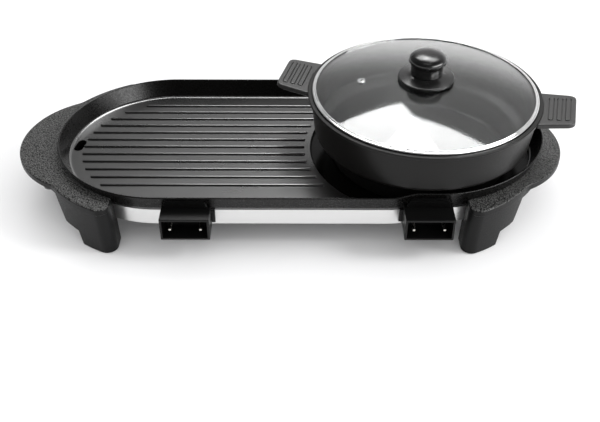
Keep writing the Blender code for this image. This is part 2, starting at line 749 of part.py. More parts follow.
def body_envelope():
    """The pan and skirt with the gap round them: what is set against them is cut by it."""
    return tool("body_envelope", loft("body_envelope", [
        pan_section(SKIRT_INSET - GAP, SKIRT_BOTTOM - GAP),
        pan_section(SKIRT_INSET - GAP, SHOULDER_Z),
        rim_section(-GAP, RIM_HEIGHT),
        rim_section(-GAP, RIM_HEIGHT + OVERRUN),
    ]))


def wing_outline(inset):
    """The end handle from above as (reach, y), from its front tip round the grip to its back tip."""
    band, bulge = BAND_RADIUS - inset, BULGE_RADIUS - inset
    waist, tip = WAIST_FILLET + inset, TIP_FILLET - inset
    waist_at = circles_meet(BAND_REACH, band + waist, BULGE_REACH, bulge + waist)
    tip_reach = TIP_REACH + TIP_FILLET
    tip_y = math.sqrt((band - tip) ** 2 - (tip_reach - BAND_REACH) ** 2)
    band_start = math.atan2(tip_y, tip_reach - BAND_REACH)
    band_end = math.atan2(waist_at[1], waist_at[0] - BAND_REACH)
    bulge_start = math.atan2(waist_at[1], waist_at[0] - BULGE_REACH)
    half = arc(tip_reach, tip_y, tip, math.pi, band_start, CORNER_STEPS)
    half += arc(BAND_REACH, 0, band, band_start, band_end, ARC_STEPS // 3)[1:]
    half += arc(*waist_at, waist, band_end + math.pi, bulge_start + math.pi, CORNER_STEPS)[1:]
    half += arc(BULGE_REACH, 0, bulge, bulge_start, 0, ARC_STEPS // 2)[1:]
    return [(reach, -y) for reach, y in half] + half[-2::-1]


def leg_outline(z, side):
    """The leg's section at one height, as (reach, y); the outer face leans in towards the foot."""
    share = (WING_TOP - z) / WING_TOP
    outer = BAND_RADIUS - LEG_SETBACK - LEG_DRAFT * share
    tip_reach = TIP_REACH - LEG_TIP_LEAN * share
    start = leg_angle(z)
    corner = math.asin(LEG_CORNER / (outer - LEG_CORNER))
    corner_at = arc(BAND_REACH, 0, outer - LEG_CORNER, start + corner, start + corner, 1)[0]
    fillet_reach = tip_reach + TIP_FILLET
    fillet_y = math.sqrt((outer - TIP_FILLET) ** 2 - (fillet_reach - BAND_REACH) ** 2)
    fillet_angle = math.atan2(fillet_y, fillet_reach - BAND_REACH)
    inner_end = math.acos((tip_reach - BAND_REACH) / LEG_INNER_RADIUS)
    points = arc(*corner_at, LEG_CORNER, start - math.pi / 2, start + corner, CORNER_STEPS)
    points += arc(BAND_REACH, 0, outer, start + corner, fillet_angle, ARC_STEPS // 3)[1:]
    points += arc(fillet_reach, fillet_y, TIP_FILLET, fillet_angle, math.pi, CORNER_STEPS)[1:]
    points += arc(BAND_REACH, 0, LEG_INNER_RADIUS, inner_end, start, ARC_STEPS // 3)
    return [(reach, side * y) for reach, y in points]


def leg_angle(z):
    """Where the leg's stepped edge stands at a height."""
    ledge_top = LEG_LEDGE_HEIGHT + LEG_LEDGE_RISE
    if z >= ledge_top:
        share = (z - ledge_top) / (WING_BOTTOM - ledge_top)
        return LEG_WAIST_ANGLE + (LEG_TOP_ANGLE - LEG_WAIST_ANGLE) * share
    if z >= LEG_LEDGE_HEIGHT:
        share = (z - LEG_LEDGE_HEIGHT) / LEG_LEDGE_RISE
        return LEG_LEDGE_ANGLE + (LEG_WAIST_ANGLE - LEG_LEDGE_ANGLE) * share
    return LEG_FOOT_ANGLE + (LEG_LEDGE_ANGLE - LEG_FOOT_ANGLE) * z / LEG_LEDGE_HEIGHT


def outward(points, direction, z):
    """(reach, y) points of an end handle set at their place and height."""
    return [(BASE_X + direction * reach, y, z) for reach, y in points]


def skirt_end(direction):
    """Centre, reach, half width and power of the skirt's round end on one side."""
    if direction < 0:
        return GRILL_END_X, PAN_HALF_WIDTH - SKIRT_INSET, PAN_HALF_WIDTH - SKIRT_INSET, 2
    return POT_END_X, POT_END_REACH - SKIRT_INSET, POT_END_HALF_WIDTH - SKIRT_INSET, POT_END_POWER


def skirt_curve(direction, out, start, end, steps):
    """Points at a distance off the skirt's end, between two angles about its centre."""
    centre, reach, width, power = skirt_end(direction)
    points = []
    for cosine, sine in arc(0, 0, 1, start, end, steps):
        radius = out + ((cosine / reach) ** power + (abs(sine) / width) ** power) ** (-1 / power)
        points.append((centre + direction * radius * cosine, radius * sine))
    return points


def pad_place(direction, side):
    radius = (LEG_INNER_RADIUS + BAND_RADIUS - LEG_SETBACK - LEG_DRAFT) / 2
    reach, y = arc(BAND_REACH, 0, radius, PAD_ANGLE, PAD_ANGLE, 1)[0]
    return BASE_X + direction * reach, side * y


def apron_outline(direction):
    """The wall under the grip that is screwed to the skirt."""
    steps = ARC_STEPS // 2
    outer = skirt_curve(direction, APRON_THICKNESS, -APRON_SWEEP, APRON_SWEEP, steps)
    return outer + skirt_curve(direction, -OVERRUN, APRON_SWEEP, -APRON_SWEEP, steps)


def recess_outline(direction):
    """The hollow under the grip, between the apron and the grip's edge."""
    outer = BULGE_RADIUS - RECESS_RIM
    outer_sweep = math.asin(RECESS_HALF_WIDTH / outer)
    grip = arc(BULGE_REACH, 0, outer, -outer_sweep, outer_sweep, ARC_STEPS // 2)
    out = APRON_THICKNESS + RECESS_RIM
    inner_sweep = math.asin(RECESS_HALF_WIDTH / (skirt_end(direction)[1] + out))
    inner = skirt_curve(direction, out, inner_sweep, -inner_sweep, ARC_STEPS // 3)
    return [(BASE_X + direction * reach, y) for reach, y in grip] + inner


def handle_screw_line(direction, side, start, end):
    """A line square to the skirt's outer face, between two distances out from it."""
    centre, reach, width, power = skirt_end(direction)
    angle = side * HANDLE_SCREW_ANGLE
    x, y = skirt_curve(direction, 0, angle, angle, 1)[0]
    slope_x = (abs(x - centre) / reach) ** (power - 1) / reach
    slope_y = (abs(y) / width) ** (power - 1) / width
    normal = Vector((direction * slope_x, side * slope_y, 0)).normalized()
    here = Vector((x, y, RIM_HEIGHT - HANDLE_SCREW_DROP))
    return [here + normal * start, here + normal * end]


def end_handle(name, direction):
    plate = loft(name, [outward(wing_outline(0), direction, WING_BOTTOM)] + [
        outward(wing_outline(WING_EDGE * drawn_in), direction, WING_TOP - WING_EDGE * down)
        for down, drawn_in in WING_EDGE_SHARES
    ])
    handle = part(name + "_end_handle", plate, "grained_plastic")
    recess = prisms(name + "_recess", [recess_outline(direction)], WING_BOTTOM - OVERRUN,
                    WING_BOTTOM + RECESS_DEPTH)
    cut(handle, tool(name + "_recess", recess))
    heights = (FOOT_LIFT, LEG_LEDGE_HEIGHT, LEG_LEDGE_HEIGHT + LEG_LEDGE_RISE, WING_BOTTOM + OVERRUN)
    for side in (-1, 1):
        sections = [outward(leg_outline(z, side), direction, z) for z in heights]
        join(handle, tool(f"{name}_leg", loft(f"{name}_leg", sections)))
    apron = prisms(name + "_apron", [apron_outline(direction)], WING_BOTTOM - APRON_HEIGHT,
                   WING_BOTTOM + OVERRUN)
    join(handle, tool(name + "_apron", apron))
    cut(handle, ENVELOPE)
    pilots = [handle_screw_line(direction, side, -OVERRUN, HANDLE_SCREW_LENGTH) for side in (-1, 1)]
    cut(handle, tool(name + "_pilots", rods(name + "_pilots", pilots, SCREW_RADIUS + GAP)))
    pad_top = PAD_HEIGHT + GAP
    pads = []
    for side in (-1, 1):
        x, y = pad_place(direction, side)
        pads.append(((x, y, -OVERRUN), (x, y, pad_top)))
    cut(handle, tool(name + "_pad_holes", rods(name + "_pad_holes", pads, PAD_RADIUS + GAP)))


def foot_pads():
    profile = [
        (0, PAD_HEIGHT), (PAD_RADIUS, PAD_HEIGHT), (PAD_RADIUS, PAD_CHAMFER),
        (PAD_RADIUS - PAD_CHAMFER, 0), (0, 0),
    ]
    for name, direction in SIDES.items():
        for place, side in (("front", -1), ("back", 1)):
            x, y = pad_place(direction, side)
            turned(f"{name}_{place}_foot_pad", profile, "rubber", (x, y, 0), SMALL_STEPS)


def screw(name, at, direction, length, head_radius=SCREW_HEAD_RADIUS, parent=None):
    """A pan-head screw: its head's underside at one point, its shank along the direction."""
    radius, head = SCREW_RADIUS, SCREW_HEAD
    profile = [
        (0, length), (radius - SCREW_RIM, length), (radius, length - SCREW_RIM), (radius, 0),
        (head_radius, 0), (head_radius, SCREW_RIM - head), (head_radius - SCREW_RIM, -head), (0, -head),
    ]
    obj = turned(name, profile, "screw_steel", at, SCREW_STEPS, parent)
    obj.rotation_euler = Vector(direction).to_track_quat("Z", "Y").to_euler()
    return obj


def fasteners():
    for i, (x, y, _) in enumerate(boss_places(), 1):
        reach = COVER_TOP + COVER_SCREW_LENGTH - COVER_BOTTOM
        screw(f"cover_screw_{i}", (x, y, COVER_BOTTOM - GAP), (0, 0, 1), reach)
    for name, direction in SIDES.items():
        for place, side in (("front", -1), ("back", 1)):
            start, end = handle_screw_line(direction, side, -SKIRT_SHEET - GAP, HANDLE_SCREW_LENGTH - GAP)
            screw(f"{name}_{place}_handle_screw", start, end - start, (end - start).length)


def socket_frame(x):
    """(skirt's face, front of the socket's back wall, front of its shield) as distances from Y = 0."""
    ends = [x - SOCKET_WIDTH / 2, x, x + SOCKET_WIDTH / 2]
    widest = max(half_width(at) for at in ends)
    lean = PAN_FLARE * (PAN_WALL_HEIGHT - SHIELD_DROP) / PAN_WALL_HEIGHT
    skirt = widest - SKIRT_INSET
    return skirt, skirt + SOCKET_BACK, skirt + lean + SHIELD_THICKNESS


def socket_shield(name, x, side):
    """The upright plate over the pan's wall, leaning out with it, and the tab beside the box."""
    skirt, _, _ = socket_frame(x)
    top, low = RIM_HEIGHT - SHIELD_DROP, SOCKET_BOTTOM + SOCKET_WALL
    half = SHIELD_WIDTH / 2
    corners = [(-half, low, 0), (half, low, 0), (half, top, SHIELD_CORNER), (-half, top, SHIELD_CORNER)]
    outline = soften(corners)
    slope = PAN_FLARE / PAN_WALL_HEIGHT

    def face(out):
        return [(x + a, -(skirt + out + slope * max(z - SHOULDER_Z, 0)), z) for a, z in outline]

    shield = tool(name + "_shield", loft(name + "_shield", [face(-PAN_FLARE), face(SHIELD_THICKNESS)]))
    inner = x + side * (SOCKET_WIDTH / 2 - OVERRUN)
    outer = x + side * (SOCKET_WIDTH / 2 + TAB_WIDTH)
    tab = box(name + "_tab", (min(inner, outer), -(skirt + TAB_THICKNESS), SKIRT_TOP - TAB_HEIGHT),
              (max(inner, outer), OVERRUN - skirt, SKIRT_TOP))
    return shield, tool(name + "_tab", tab)


def socket(name, x, side):
    """side is where the tab stands: towards the other socket."""
    _, back, _ = socket_frame(x)
    half, wall = SOCKET_WIDTH / 2, SOCKET_WALL
    block = box(name + "_socket", (x - half, -SOCKET_REACH, SOCKET_BOTTOM),
                (x + half, OVERRUN + SOCKET_BACK - back, SOCKET_TOP))
    shell = part(name + "_socket", block, "black_plastic")
    bevel = shell.modifiers.new("edges", "BEVEL")
    bevel.width = SOCKET_EDGE
    bevel.segments = 2
    join(shell, *socket_shield(name, x, side))
    inside = box(name + "_cavity", (x - half + wall, -SOCKET_REACH - OVERRUN, SOCKET_BOTTOM + wall),
                 (x + half - wall, -back, SOCKET_TOP - wall))
    cut(shell, tool(name + "_cavity", inside), ENVELOPE)
    cut(shell, SOCKET_HOLES["pins"], SOCKET_HOLES["probes"], SOCKET_HOLES["screws"])


def socket_places():
    """(name, x, side of its tab) of each socket."""
    return (("left", GRILL_SOCKET_X, 1), ("right", POT_SOCKET_X, -1))


def skirt_reach(x, half=0):
    """Centre line to the skirt's outer face in front, at its nearest over a width about x."""
    return min(edge_y(x - half, SKIRT_INSET), edge_y(x + half, SKIRT_INSET))


def pin_places():
    """(name, x, its socket's back) of each terminal pin."""
    for name, x, _ in socket_places():
        _, back, _ = socket_frame(x)
        for i, side in enumerate((-1, 1), 1):
            yield f"{name}_terminal_pin_{i}", x + side * PIN_SPACING / 2, back


def socket_screw_places():
    """(name, x, its socket's back) of each screw that holds a socket to the skirt."""
    for name, x, _ in socket_places():
        _, back, _ = socket_frame(x)
        for i, side in enumerate((-1, 1), 1):
            yield f"{name}_socket_screw_{i}", x + side * SOCKET_SCREW_SPACING / 2, back


def forward(x, start, end, z):
    """A line towards the front, between two distances from the centre line."""
    return (x, -start, z), (x, -end, z)


def hole_tools():
    """Cutters for all holes that face forward, in the skirt and in the sockets' back walls."""
    screw_z = RIM_HEIGHT - SOCKET_SCREW_DROP
    probes = [(x, socket_frame(x)[1]) for _, x, _ in socket_places()]
    pins = [(x, back) for _, x, back in pin_places()]
    screws = [(x, back) for _, x, back in socket_screw_places()]
    handles = [handle_screw_line(direction, side, -SKIRT_SHEET - OVERRUN, OVERRUN)
               for direction in SIDES.values() for side in (-1, 1)]

    def through_skirt(places, z):
        inner = SKIRT_SHEET + OVERRUN
        return [forward(x, skirt_reach(x) - inner, skirt_reach(x) + OVERRUN, z) for x, _ in places]

    def through_back(places):
        return [forward(x, skirt_reach(x) - OVERRUN, back + OVERRUN, PIN_Z) for x, back in places]

    pilots = [forward(x, skirt_reach(x) - OVERRUN, skirt_reach(x) + SOCKET_SCREW_DEPTH, screw_z)
              for x, _ in screws]
    skirt = {
        "insulators": (through_skirt(pins, PIN_Z), INSULATOR_RADIUS + GAP),
        "probes": (through_skirt(probes, PIN_Z), PROBE_RADIUS + GAP),
        "screws": (through_skirt(screws, screw_z) + handles, SCREW_RADIUS + GAP),
    }
    back = {
        "pins": (through_back(pins), PIN_RADIUS + GAP),
        "probes": (through_back(probes), PROBE_RADIUS + GAP),
        "screws": (pilots, SCREW_RADIUS + GAP),
    }
    made = []
    for place, groups in (("skirt", skirt), ("socket", back)):
        tools = {}
        for kind, (lines, radius) in groups.items():
            name = f"{place}_{kind}_holes"
            tools[kind] = tool(name, rods(name, lines, radius))
        made.append(tools)
    return made


def facing_forward(name, profile, finish, x, distance, z=PIN_Z):
    """A turned piece whose profile's height runs towards the front from a distance off the centre line."""
    obj = turned(name, profile, finish, (x, -distance, z), SMALL_STEPS)
    obj.rotation_euler = (math.pi / 2, 0, 0)


def sleeve_profile(radius, bore, length):
    return [(radius, length), (radius, 0), (bore, 0), (bore, length)]


def socket_fittings():
    """Terminal pins with their ceramic bushes, probe sleeves and the sockets' screws."""
    for name, x, _ in pin_places():
        start = skirt_reach(x, INSULATOR_RADIUS) - HEATER_SETBACK + GAP
        length = SOCKET_REACH - PIN_RECESS - start
        pin = [
            (0, length), (PIN_RADIUS - PIN_NOSE, length), (PIN_RADIUS, length - PIN_NOSE),
            (PIN_RADIUS, 0), (0, 0),
        ]
        facing_forward(name, pin, "pin_metal", x, start)
        bush = sleeve_profile(INSULATOR_RADIUS, PIN_RADIUS + GAP, INSULATOR_LENGTH)
        facing_forward(name.replace("terminal_pin", "pin_insulator"), bush, "ceramic", x,
                       skirt_reach(x, INSULATOR_RADIUS) - INSULATOR_LENGTH)
    for name, x, _ in socket_places():
        _, back, _ = socket_frame(x)
        sleeve = sleeve_profile(PROBE_RADIUS, PROBE_BORE, PROBE_LENGTH)
        facing_forward(name + "_probe_sleeve", sleeve, "dark_steel", x, back - PROBE_LENGTH)
    for name, x, _ in socket_screw_places():
        head = skirt_reach(x, SCREW_HEAD_RADIUS) - SKIRT_SHEET - GAP
        depth = skirt_reach(x) + SOCKET_SCREW_DEPTH - GAP - head
        screw(name, (x, -head, RIM_HEIGHT - SOCKET_SCREW_DROP), (0, -1, 0), depth)


def bent_path(corners, bend):
    """A path through 3-D corners, each rounded over the bend, shorter where a leg is short."""
    points = [Vector(corners[0])]
    for before, here, after in zip(corners, corners[1:], corners[2:]):
        before, here, after = Vector(before), Vector(here), Vector(after)
        reach = min(bend, (before - here).length / 2, (after - here).length / 2)
        start = (before - here).normalized() * reach
        end = (after - here).normalized() * reach
        for k in range(CORNER_STEPS + 1):
            t = k / CORNER_STEPS
            points.append(here + start * (1 - t) ** 2 + end * t ** 2)
    points.append(Vector(corners[-1]))
    return points


def tube(name, points, radius, finish):
    curve = bpy.data.curves.new(name, "CURVE")
    curve.dimensions = "3D"
    curve.bevel_depth = radius
    curve.bevel_resolution = 2
    curve.use_fill_caps = True
    spline = curve.splines.new("POLY")
    spline.points.add(len(points) - 1)
    for slot, point in zip(spline.points, points):
        slot.co = (*point, 1)
    return part(name, curve, finish)


def heaters():
    half = PIN_SPACING / 2
    left, right = GRILL_SOCKET_X - half, GRILL_SOCKET_X + half
    far_left, far_right = GRILL_HEATER_X - GRILL_HEATER_HALF_LENGTH, GRILL_HEATER_X + GRILL_HEATER_HALF_LENGTH
    depth = GRILL_HEATER_HALF_WIDTH
    loop_z = GRILL_HEATER_Z
    ends = HEATER_SETBACK - skirt_reach(left)
    corners = [
        (right, ends, PIN_Z), (right, ends + HEATER_BEND, PIN_Z), (right, -depth, loop_z),
        (far_right, -depth, loop_z), (far_right, depth, loop_z), (far_left, depth, loop_z),
        (far_left, -depth, loop_z), (left, -depth, loop_z), (left, ends + HEATER_BEND, PIN_Z),
        (left, ends, PIN_Z),
    ]
    tube("grill_heater", bent_path(corners, HEATER_BEND), HEATER_RADIUS, "heater_steel")
    ring = arc(POT_X, 0, POT_HEATER_RADIUS, POT_HEATER_START, math.pi - POT_HEATER_START, HEATER_STEPS)
    pot_left, pot_right = POT_SOCKET_X - half, POT_SOCKET_X + half
    inner = -math.sqrt(POT_HEATER_RADIUS ** 2 - half ** 2)
    left_end = HEATER_SETBACK - skirt_reach(pot_left, INSULATOR_RADIUS)
    right_end = HEATER_SETBACK - skirt_reach(pot_right, INSULATOR_RADIUS)
    start = bent_path([(pot_right, right_end, PIN_Z), (pot_right, inner, PIN_Z), (*ring[0], PIN_Z)],
                      HEATER_BEND)
    finish = bent_path([(*ring[-1], PIN_Z), (pot_left, inner, PIN_Z), (pot_left, left_end, PIN_Z)],
                       HEATER_BEND)
    middle = [Vector((*point, PIN_Z)) for point in ring[1:-1]]
    tube("pot_heater", start + middle + finish, HEATER_RADIUS, "heater_steel")


def grease_tray():
    outer_end = DRAIN_X - TRAY_DRAIN_OFFSET
    middle = outer_end + TRAY_LENGTH / 2
    half = TRAY_LENGTH / 2

    def section(out, z):
        outline = rounded_box(half + out, TRAY_HALF_WIDTH + out, TRAY_CORNER + out)
        return [(middle + x, y, z) for x, y in outline]

    low = TRAY_TOP - TRAY_HEIGHT
    lip_low = TRAY_TOP - TRAY_LIP_THICKNESS
    tray = part("grease_tray", loft("grease_tray", [
        section(-TRAY_WALL, low), section(0, low + TRAY_WALL), section(0, lip_low),
        section(TRAY_LIP, lip_low), section(TRAY_LIP, TRAY_TOP), section(-TRAY_WALL, TRAY_TOP),
        section(-TRAY_WALL, low + 2 * TRAY_WALL), section(-2 * TRAY_WALL, low + TRAY_WALL),
    ]), "dark_steel")
    pull = box("tray_pull", (outer_end - TRAY_LIP - TRAY_PULL, -TRAY_PULL, lip_low),
               (outer_end - TRAY_WALL, TRAY_PULL, TRAY_TOP))
    join(tray, tool("tray_pull", pull))


def tray_rails():
    lip_edge = TRAY_HALF_WIDTH + TRAY_LIP + GAP
    ledge_top = TRAY_TOP - TRAY_LIP_THICKNESS - GAP
    top = COVER_BOTTOM - GAP
    ledge_edge = lip_edge - RAIL_LEDGE
    outline = [
        (ledge_edge, ledge_top - RAIL_SHEET), (lip_edge + RAIL_SHEET, ledge_top - RAIL_SHEET),
        (lip_edge + RAIL_SHEET, top - RAIL_SHEET), (lip_edge + RAIL_FLANGE, top - RAIL_SHEET),
        (lip_edge + RAIL_FLANGE, top), (lip_edge, top), (lip_edge, ledge_top), (ledge_edge, ledge_top),
    ]
    for name, side in (("front", -1), ("back", 1)):
        ends = [[(x, side * y, z) for y, z in outline] for x in (RAIL_START_X, RAIL_START_X + RAIL_LENGTH)]
        part(name + "_tray_rail", loft(name + "_tray_rail", ends), "dark_steel")


def pot_profile():
    """Down the stepped outside from the flange, and up the inside to the lid's rebate."""
    flange_low = FLANGE_Z - FLANGE_THICKNESS
    low, foot_top = RIM_HEIGHT + POT_LOW_HEIGHT, RIM_HEIGHT + FOOT_TOP_HEIGHT
    floor = POT_BOTTOM + POT_BASE
    corners = [
        (0, floor, 0),
        (FOOT_RADIUS - POT_WALL, floor, 0),
        (FOOT_TOP_RADIUS - POT_WALL, foot_top + POT_WALL, 0),
        (POT_LOW_RADIUS - POT_WALL, low + POT_WALL, 0),
        (POT_INNER_TOP_RADIUS, SEAT_Z, 0),
        (SEAT_RADIUS, SEAT_Z, 0),
        (SEAT_RADIUS, FLANGE_Z, 0),
        (FLANGE_RADIUS, FLANGE_Z, FLANGE_ROUND),
        (FLANGE_RADIUS, flange_low, FLANGE_ROUND),
        (POT_TOP_RADIUS, flange_low, 0),
        (POT_LOW_RADIUS, low, POT_ROUND),
        (FOOT_TOP_RADIUS, foot_top, POT_ROUND),
        (FOOT_RADIUS, POT_BOTTOM, FOOT_ROUND),
        (0, POT_BOTTOM, 0),
    ]
    return soften(corners, CORNER_STEPS // 2, closed=False)


def handle_frames():
    """An empty at each pot handle's root, turned to its side and tilted up; its +X runs outwards."""
    frames = {}
    for name, angle in POT_HANDLES.items():
        x, y = arc(POT_X, 0, FLANGE_RADIUS, angle, angle, 1)[0]
        frames[name] = empty(name + "_pot_handle_root", (x, y, HANDLE_BOTTOM))
        frames[name].rotation_euler = (0, -POT_HANDLE_RISE, angle)
    return frames


def pot_screw_lines(start, end):
    """Upright lines at a pot handle's two screws, in its frame."""
    return [((POT_SCREW_OUT, side * POT_SCREW_SPACING / 2, start),
             (POT_SCREW_OUT, side * POT_SCREW_SPACING / 2, end))
            for side in (-1, 1)]


def pot_body():
    pot = turned("pot_body", pot_profile(), "pot_coating", (POT_X, 0, 0))
    root = POT_TOP_RADIUS - POT_WALL - FLANGE_RADIUS
    for name, frame in HANDLE_FRAMES.items():
        tang = box(name + "_tang", (root, -TANG_HALF_WIDTH, 0), (TANG_OUT, TANG_HALF_WIDTH, TANG_THICKNESS))
        join(pot, tool(name + "_tang", tang, parent=frame))
    for name, frame in HANDLE_FRAMES.items():
        holes = rods(name + "_tang_holes", pot_screw_lines(-OVERRUN, TANG_THICKNESS + OVERRUN),
                     SCREW_RADIUS + GAP)
        cut(pot, tool(name + "_tang_holes", holes, parent=frame))


def handle_plate(inset, z):
    """The pot handle from above, in its frame; its root runs under the flange's edge to be cut."""
    half, reach = POT_HANDLE_HALF_WIDTH - inset, POT_HANDLE_OUT - inset
    root_half = POT_HANDLE_ROOT_HALF_WIDTH - inset
    start = math.sqrt(FLANGE_RADIUS ** 2 - root_half ** 2) - FLANGE_RADIUS - OVERRUN
    outline = soften([
        (start, -root_half, 0), (reach, -half, POT_HANDLE_CORNER), (reach, half, POT_HANDLE_CORNER),
        (start, root_half, 0),
    ])
    return at_height(outline, z)


def grip_ribs(name, frame):
    bm = bmesh.new()
    top = POT_HANDLE_THICKNESS
    for i in range(GRIP_RIB_COUNT):
        x = GRIP_RIB_OUT + (i - (GRIP_RIB_COUNT - 1) / 2) * GRIP_RIB_PITCH
        foot = obround(x, 0, GRIP_RIB_LENGTH, GRIP_RIB_WIDTH, math.pi / 2)
        crown = obround(x, 0, GRIP_RIB_LENGTH - GRIP_RIB_HEIGHT, GRIP_RIB_WIDTH - GRIP_RIB_HEIGHT,
                        math.pi / 2)
        add_loft(bm, [at_height(foot, top - GRIP_RIB_HEIGHT), at_height(foot, top),
                      at_height(crown, top + GRIP_RIB_HEIGHT)])
    return tool(name + "_grip_ribs", mesh_of(bm, name + "_grip_ribs"), parent=frame)


def pot_handle(name, frame):
    top, edge = POT_HANDLE_THICKNESS, POT_HANDLE_EDGE
    plate = loft(name + "_pot_handle", [
        handle_plate(edge, 0), handle_plate(0, edge), handle_plate(0, top - edge), handle_plate(edge, top),
    ])
    handle = part(name + "_pot_handle", plate, "pot_handle_plastic", parent=frame)
    join(handle, grip_ribs(name, frame))
    pocket = box(name + "_tang_pocket", (-FLANGE_RADIUS / 2, -TANG_HALF_WIDTH - GAP, -OVERRUN),
                 (TANG_OUT + GAP, TANG_HALF_WIDTH + GAP, TANG_THICKNESS + GAP))
    pilots = rods(name + "_pot_handle_pilots", pot_screw_lines(-OVERRUN, POT_SCREW_LENGTH),
                  SCREW_RADIUS + GAP)
    cut(handle, POT_ENVELOPE, tool(name + "_tang_pocket", pocket, parent=frame),
        tool(name + "_pot_handle_pilots", pilots, parent=frame))


def pot_handles():
    for name, frame in HANDLE_FRAMES.items():
        pot_handle(name, frame)
        for i, (start, _) in enumerate(pot_screw_lines(-GAP, 0), 1):
            screw(f"{name}_pot_handle_screw_{i}", start, (0, 0, 1), POT_SCREW_LENGTH, parent=frame)


def dome_z(radius, depth=0):
    """Height of the glass's surface, or of one depth below it."""
    return GLASS_TOP - DOME_RADIUS + math.sqrt((DOME_RADIUS - depth) ** 2 - radius ** 2)


def lid_rim():
    low = SEAT_Z + GAP
    high = GLASS_EDGE_Z + GAP
    inner = LID_RADIUS - LID_LIP
    sheet = LID_SHEET
    top_inner = dome_z(inner) + GAP
    profile = [
        (inner, top_inner + sheet), (LID_RADIUS - sheet, high + sheet), (LID_RADIUS, high),
        (LID_RADIUS, low), (inner, low), (inner, low + sheet), (LID_RADIUS - sheet, low + sheet),
        (LID_RADIUS - sheet, high - GAP / 2), (inner, top_inner),
    ]
    turned("lid_rim", profile, "bright_steel", (POT_X, 0, 0))


def vent_axis(start, end):
    """Two points on the steam vent's axis, measured out from the glass's top surface."""
    tilt = math.asin(VENT_REACH / DOME_RADIUS)
    normal = Vector((math.sin(tilt) * math.cos(VENT_ANGLE), math.sin(tilt) * math.sin(VENT_ANGLE),
                     math.cos(tilt)))
    at = Vector((VENT_REACH * math.cos(VENT_ANGLE), VENT_REACH * math.sin(VENT_ANGLE), dome_z(VENT_REACH)))
    return at + normal * start, at + normal * end, normal


def lid_glass():
    radii = [KNOB_HOLE_RADIUS + (GLASS_RADIUS - KNOB_HOLE_RADIUS) * i / GLASS_RINGS
             for i in range(GLASS_RINGS + 1)]
    top = [(radius, dome_z(radius)) for radius in radii]
    bottom = [(radius, dome_z(radius, GLASS_THICKNESS)) for radius in reversed(radii)]
    glass = turned("lid_glass", top + bottom, "clear_glass", (POT_X, 0, 0))
    start, end, _ = vent_axis(-GLASS_THICKNESS - OVERRUN, OVERRUN)
    cut(glass, tool("vent_hole", rods("vent_hole", [(start, end)], VENT_BARREL + GAP), (POT_X, 0, 0)))


def vent_grommet():
    start, _, normal = vent_axis(-GLASS_THICKNESS - GAP - VENT_FLANGE_THICKNESS, 0)
    height = GLASS_THICKNESS + 2 * (GAP + VENT_FLANGE_THICKNESS)
    lower, upper = VENT_FLANGE_THICKNESS, height - VENT_FLANGE_THICKNESS
    round_off = VENT_FLANGE_THICKNESS / 2
    profile = [
        (VENT_BORE, height), (VENT_FLANGE - round_off, height), (VENT_FLANGE, height - round_off),
        (VENT_FLANGE, upper), (VENT_BARREL, upper), (VENT_BARREL, lower), (VENT_FLANGE, lower),
        (VENT_FLANGE, 0), (VENT_BORE, 0),
    ]
    grommet = turned("vent_grommet", profile, "bright_steel",
                     (start.x + POT_X, start.y, start.z), SMALL_STEPS)
    grommet.rotation_euler = normal.to_track_quat("Z", "Y").to_euler()


def knob_pieces():
    at = (POT_X, 0, 0)
    bore = SCREW_RADIUS + GAP
    seat_low = GLASS_TOP + GAP
    seat_top = seat_low + KNOB_SEAT_HEIGHT
    edge_top = seat_low + KNOB_SEAT_EDGE
    seat = soften([
        (bore, seat_top, 0), (KNOB_NECK_RADIUS, seat_top, SCREW_RIM), (KNOB_SEAT_RADIUS, edge_top, SCREW_RIM),
        (KNOB_SEAT_RADIUS, seat_low, SCREW_RIM), (bore, seat_low, 0),
    ], CORNER_STEPS // 2, closed=False)
    turned("knob_seat", seat, "gloss_black", at, KNOB_STEPS)
    low = seat_top + GAP
    neck_top = low + KNOB_NECK_HEIGHT
    edge, top = low + KNOB_EDGE_HEIGHT, low + KNOB_HEIGHT
    crown = [(KNOB_RADIUS * math.cos(angle), edge + (top - edge) * math.sin(angle))
             for angle in (math.pi / 2 * (1 - i / CORNER_STEPS / 2) for i in range(2 * CORNER_STEPS + 1))]
    crown[0] = (0, top)
    pilot = low + KNOB_PILOT_DEPTH
    knob = crown + [
        (KNOB_RADIUS - SCREW_RIM, edge - 2 * SCREW_RIM), (KNOB_NECK_RADIUS, neck_top),
        (KNOB_NECK_RADIUS, low), (bore, low), (bore, pilot), (0, pilot),
    ]
    turned("knob", knob, "gloss_black", at, KNOB_STEPS)
    glass_low = dome_z(0, GLASS_THICKNESS)
    washer_top = dome_z(WASHER_RADIUS, GLASS_THICKNESS) - GAP
    washer_low = washer_top - WASHER_THICKNESS
    turned("knob_washer", [
        (bore, glass_low - GAP), (WASHER_RADIUS, washer_top), (WASHER_RADIUS, washer_low), (bore, washer_low),
    ], "silicone", at, KNOB_STEPS)
    lower_top = washer_low - GAP
    lower = soften([
        (bore, lower_top, 0), (LOWER_SEAT_RADIUS, lower_top, SCREW_RIM),
        (LOWER_SEAT_RADIUS, lower_top - LOWER_SEAT_HEIGHT, LOWER_SEAT_ROUND),
        (bore, lower_top - LOWER_SEAT_HEIGHT, 0),
    ], CORNER_STEPS // 2, closed=False)
    turned("knob_lower_seat", lower, "gloss_black", at, KNOB_STEPS)
    head_z = lower_top - LOWER_SEAT_HEIGHT - GAP
    screw("knob_screw", (POT_X, 0, head_z), (0, 0, 1), KNOB_SCREW_LENGTH, KNOB_SCREW_HEAD_RADIUS)


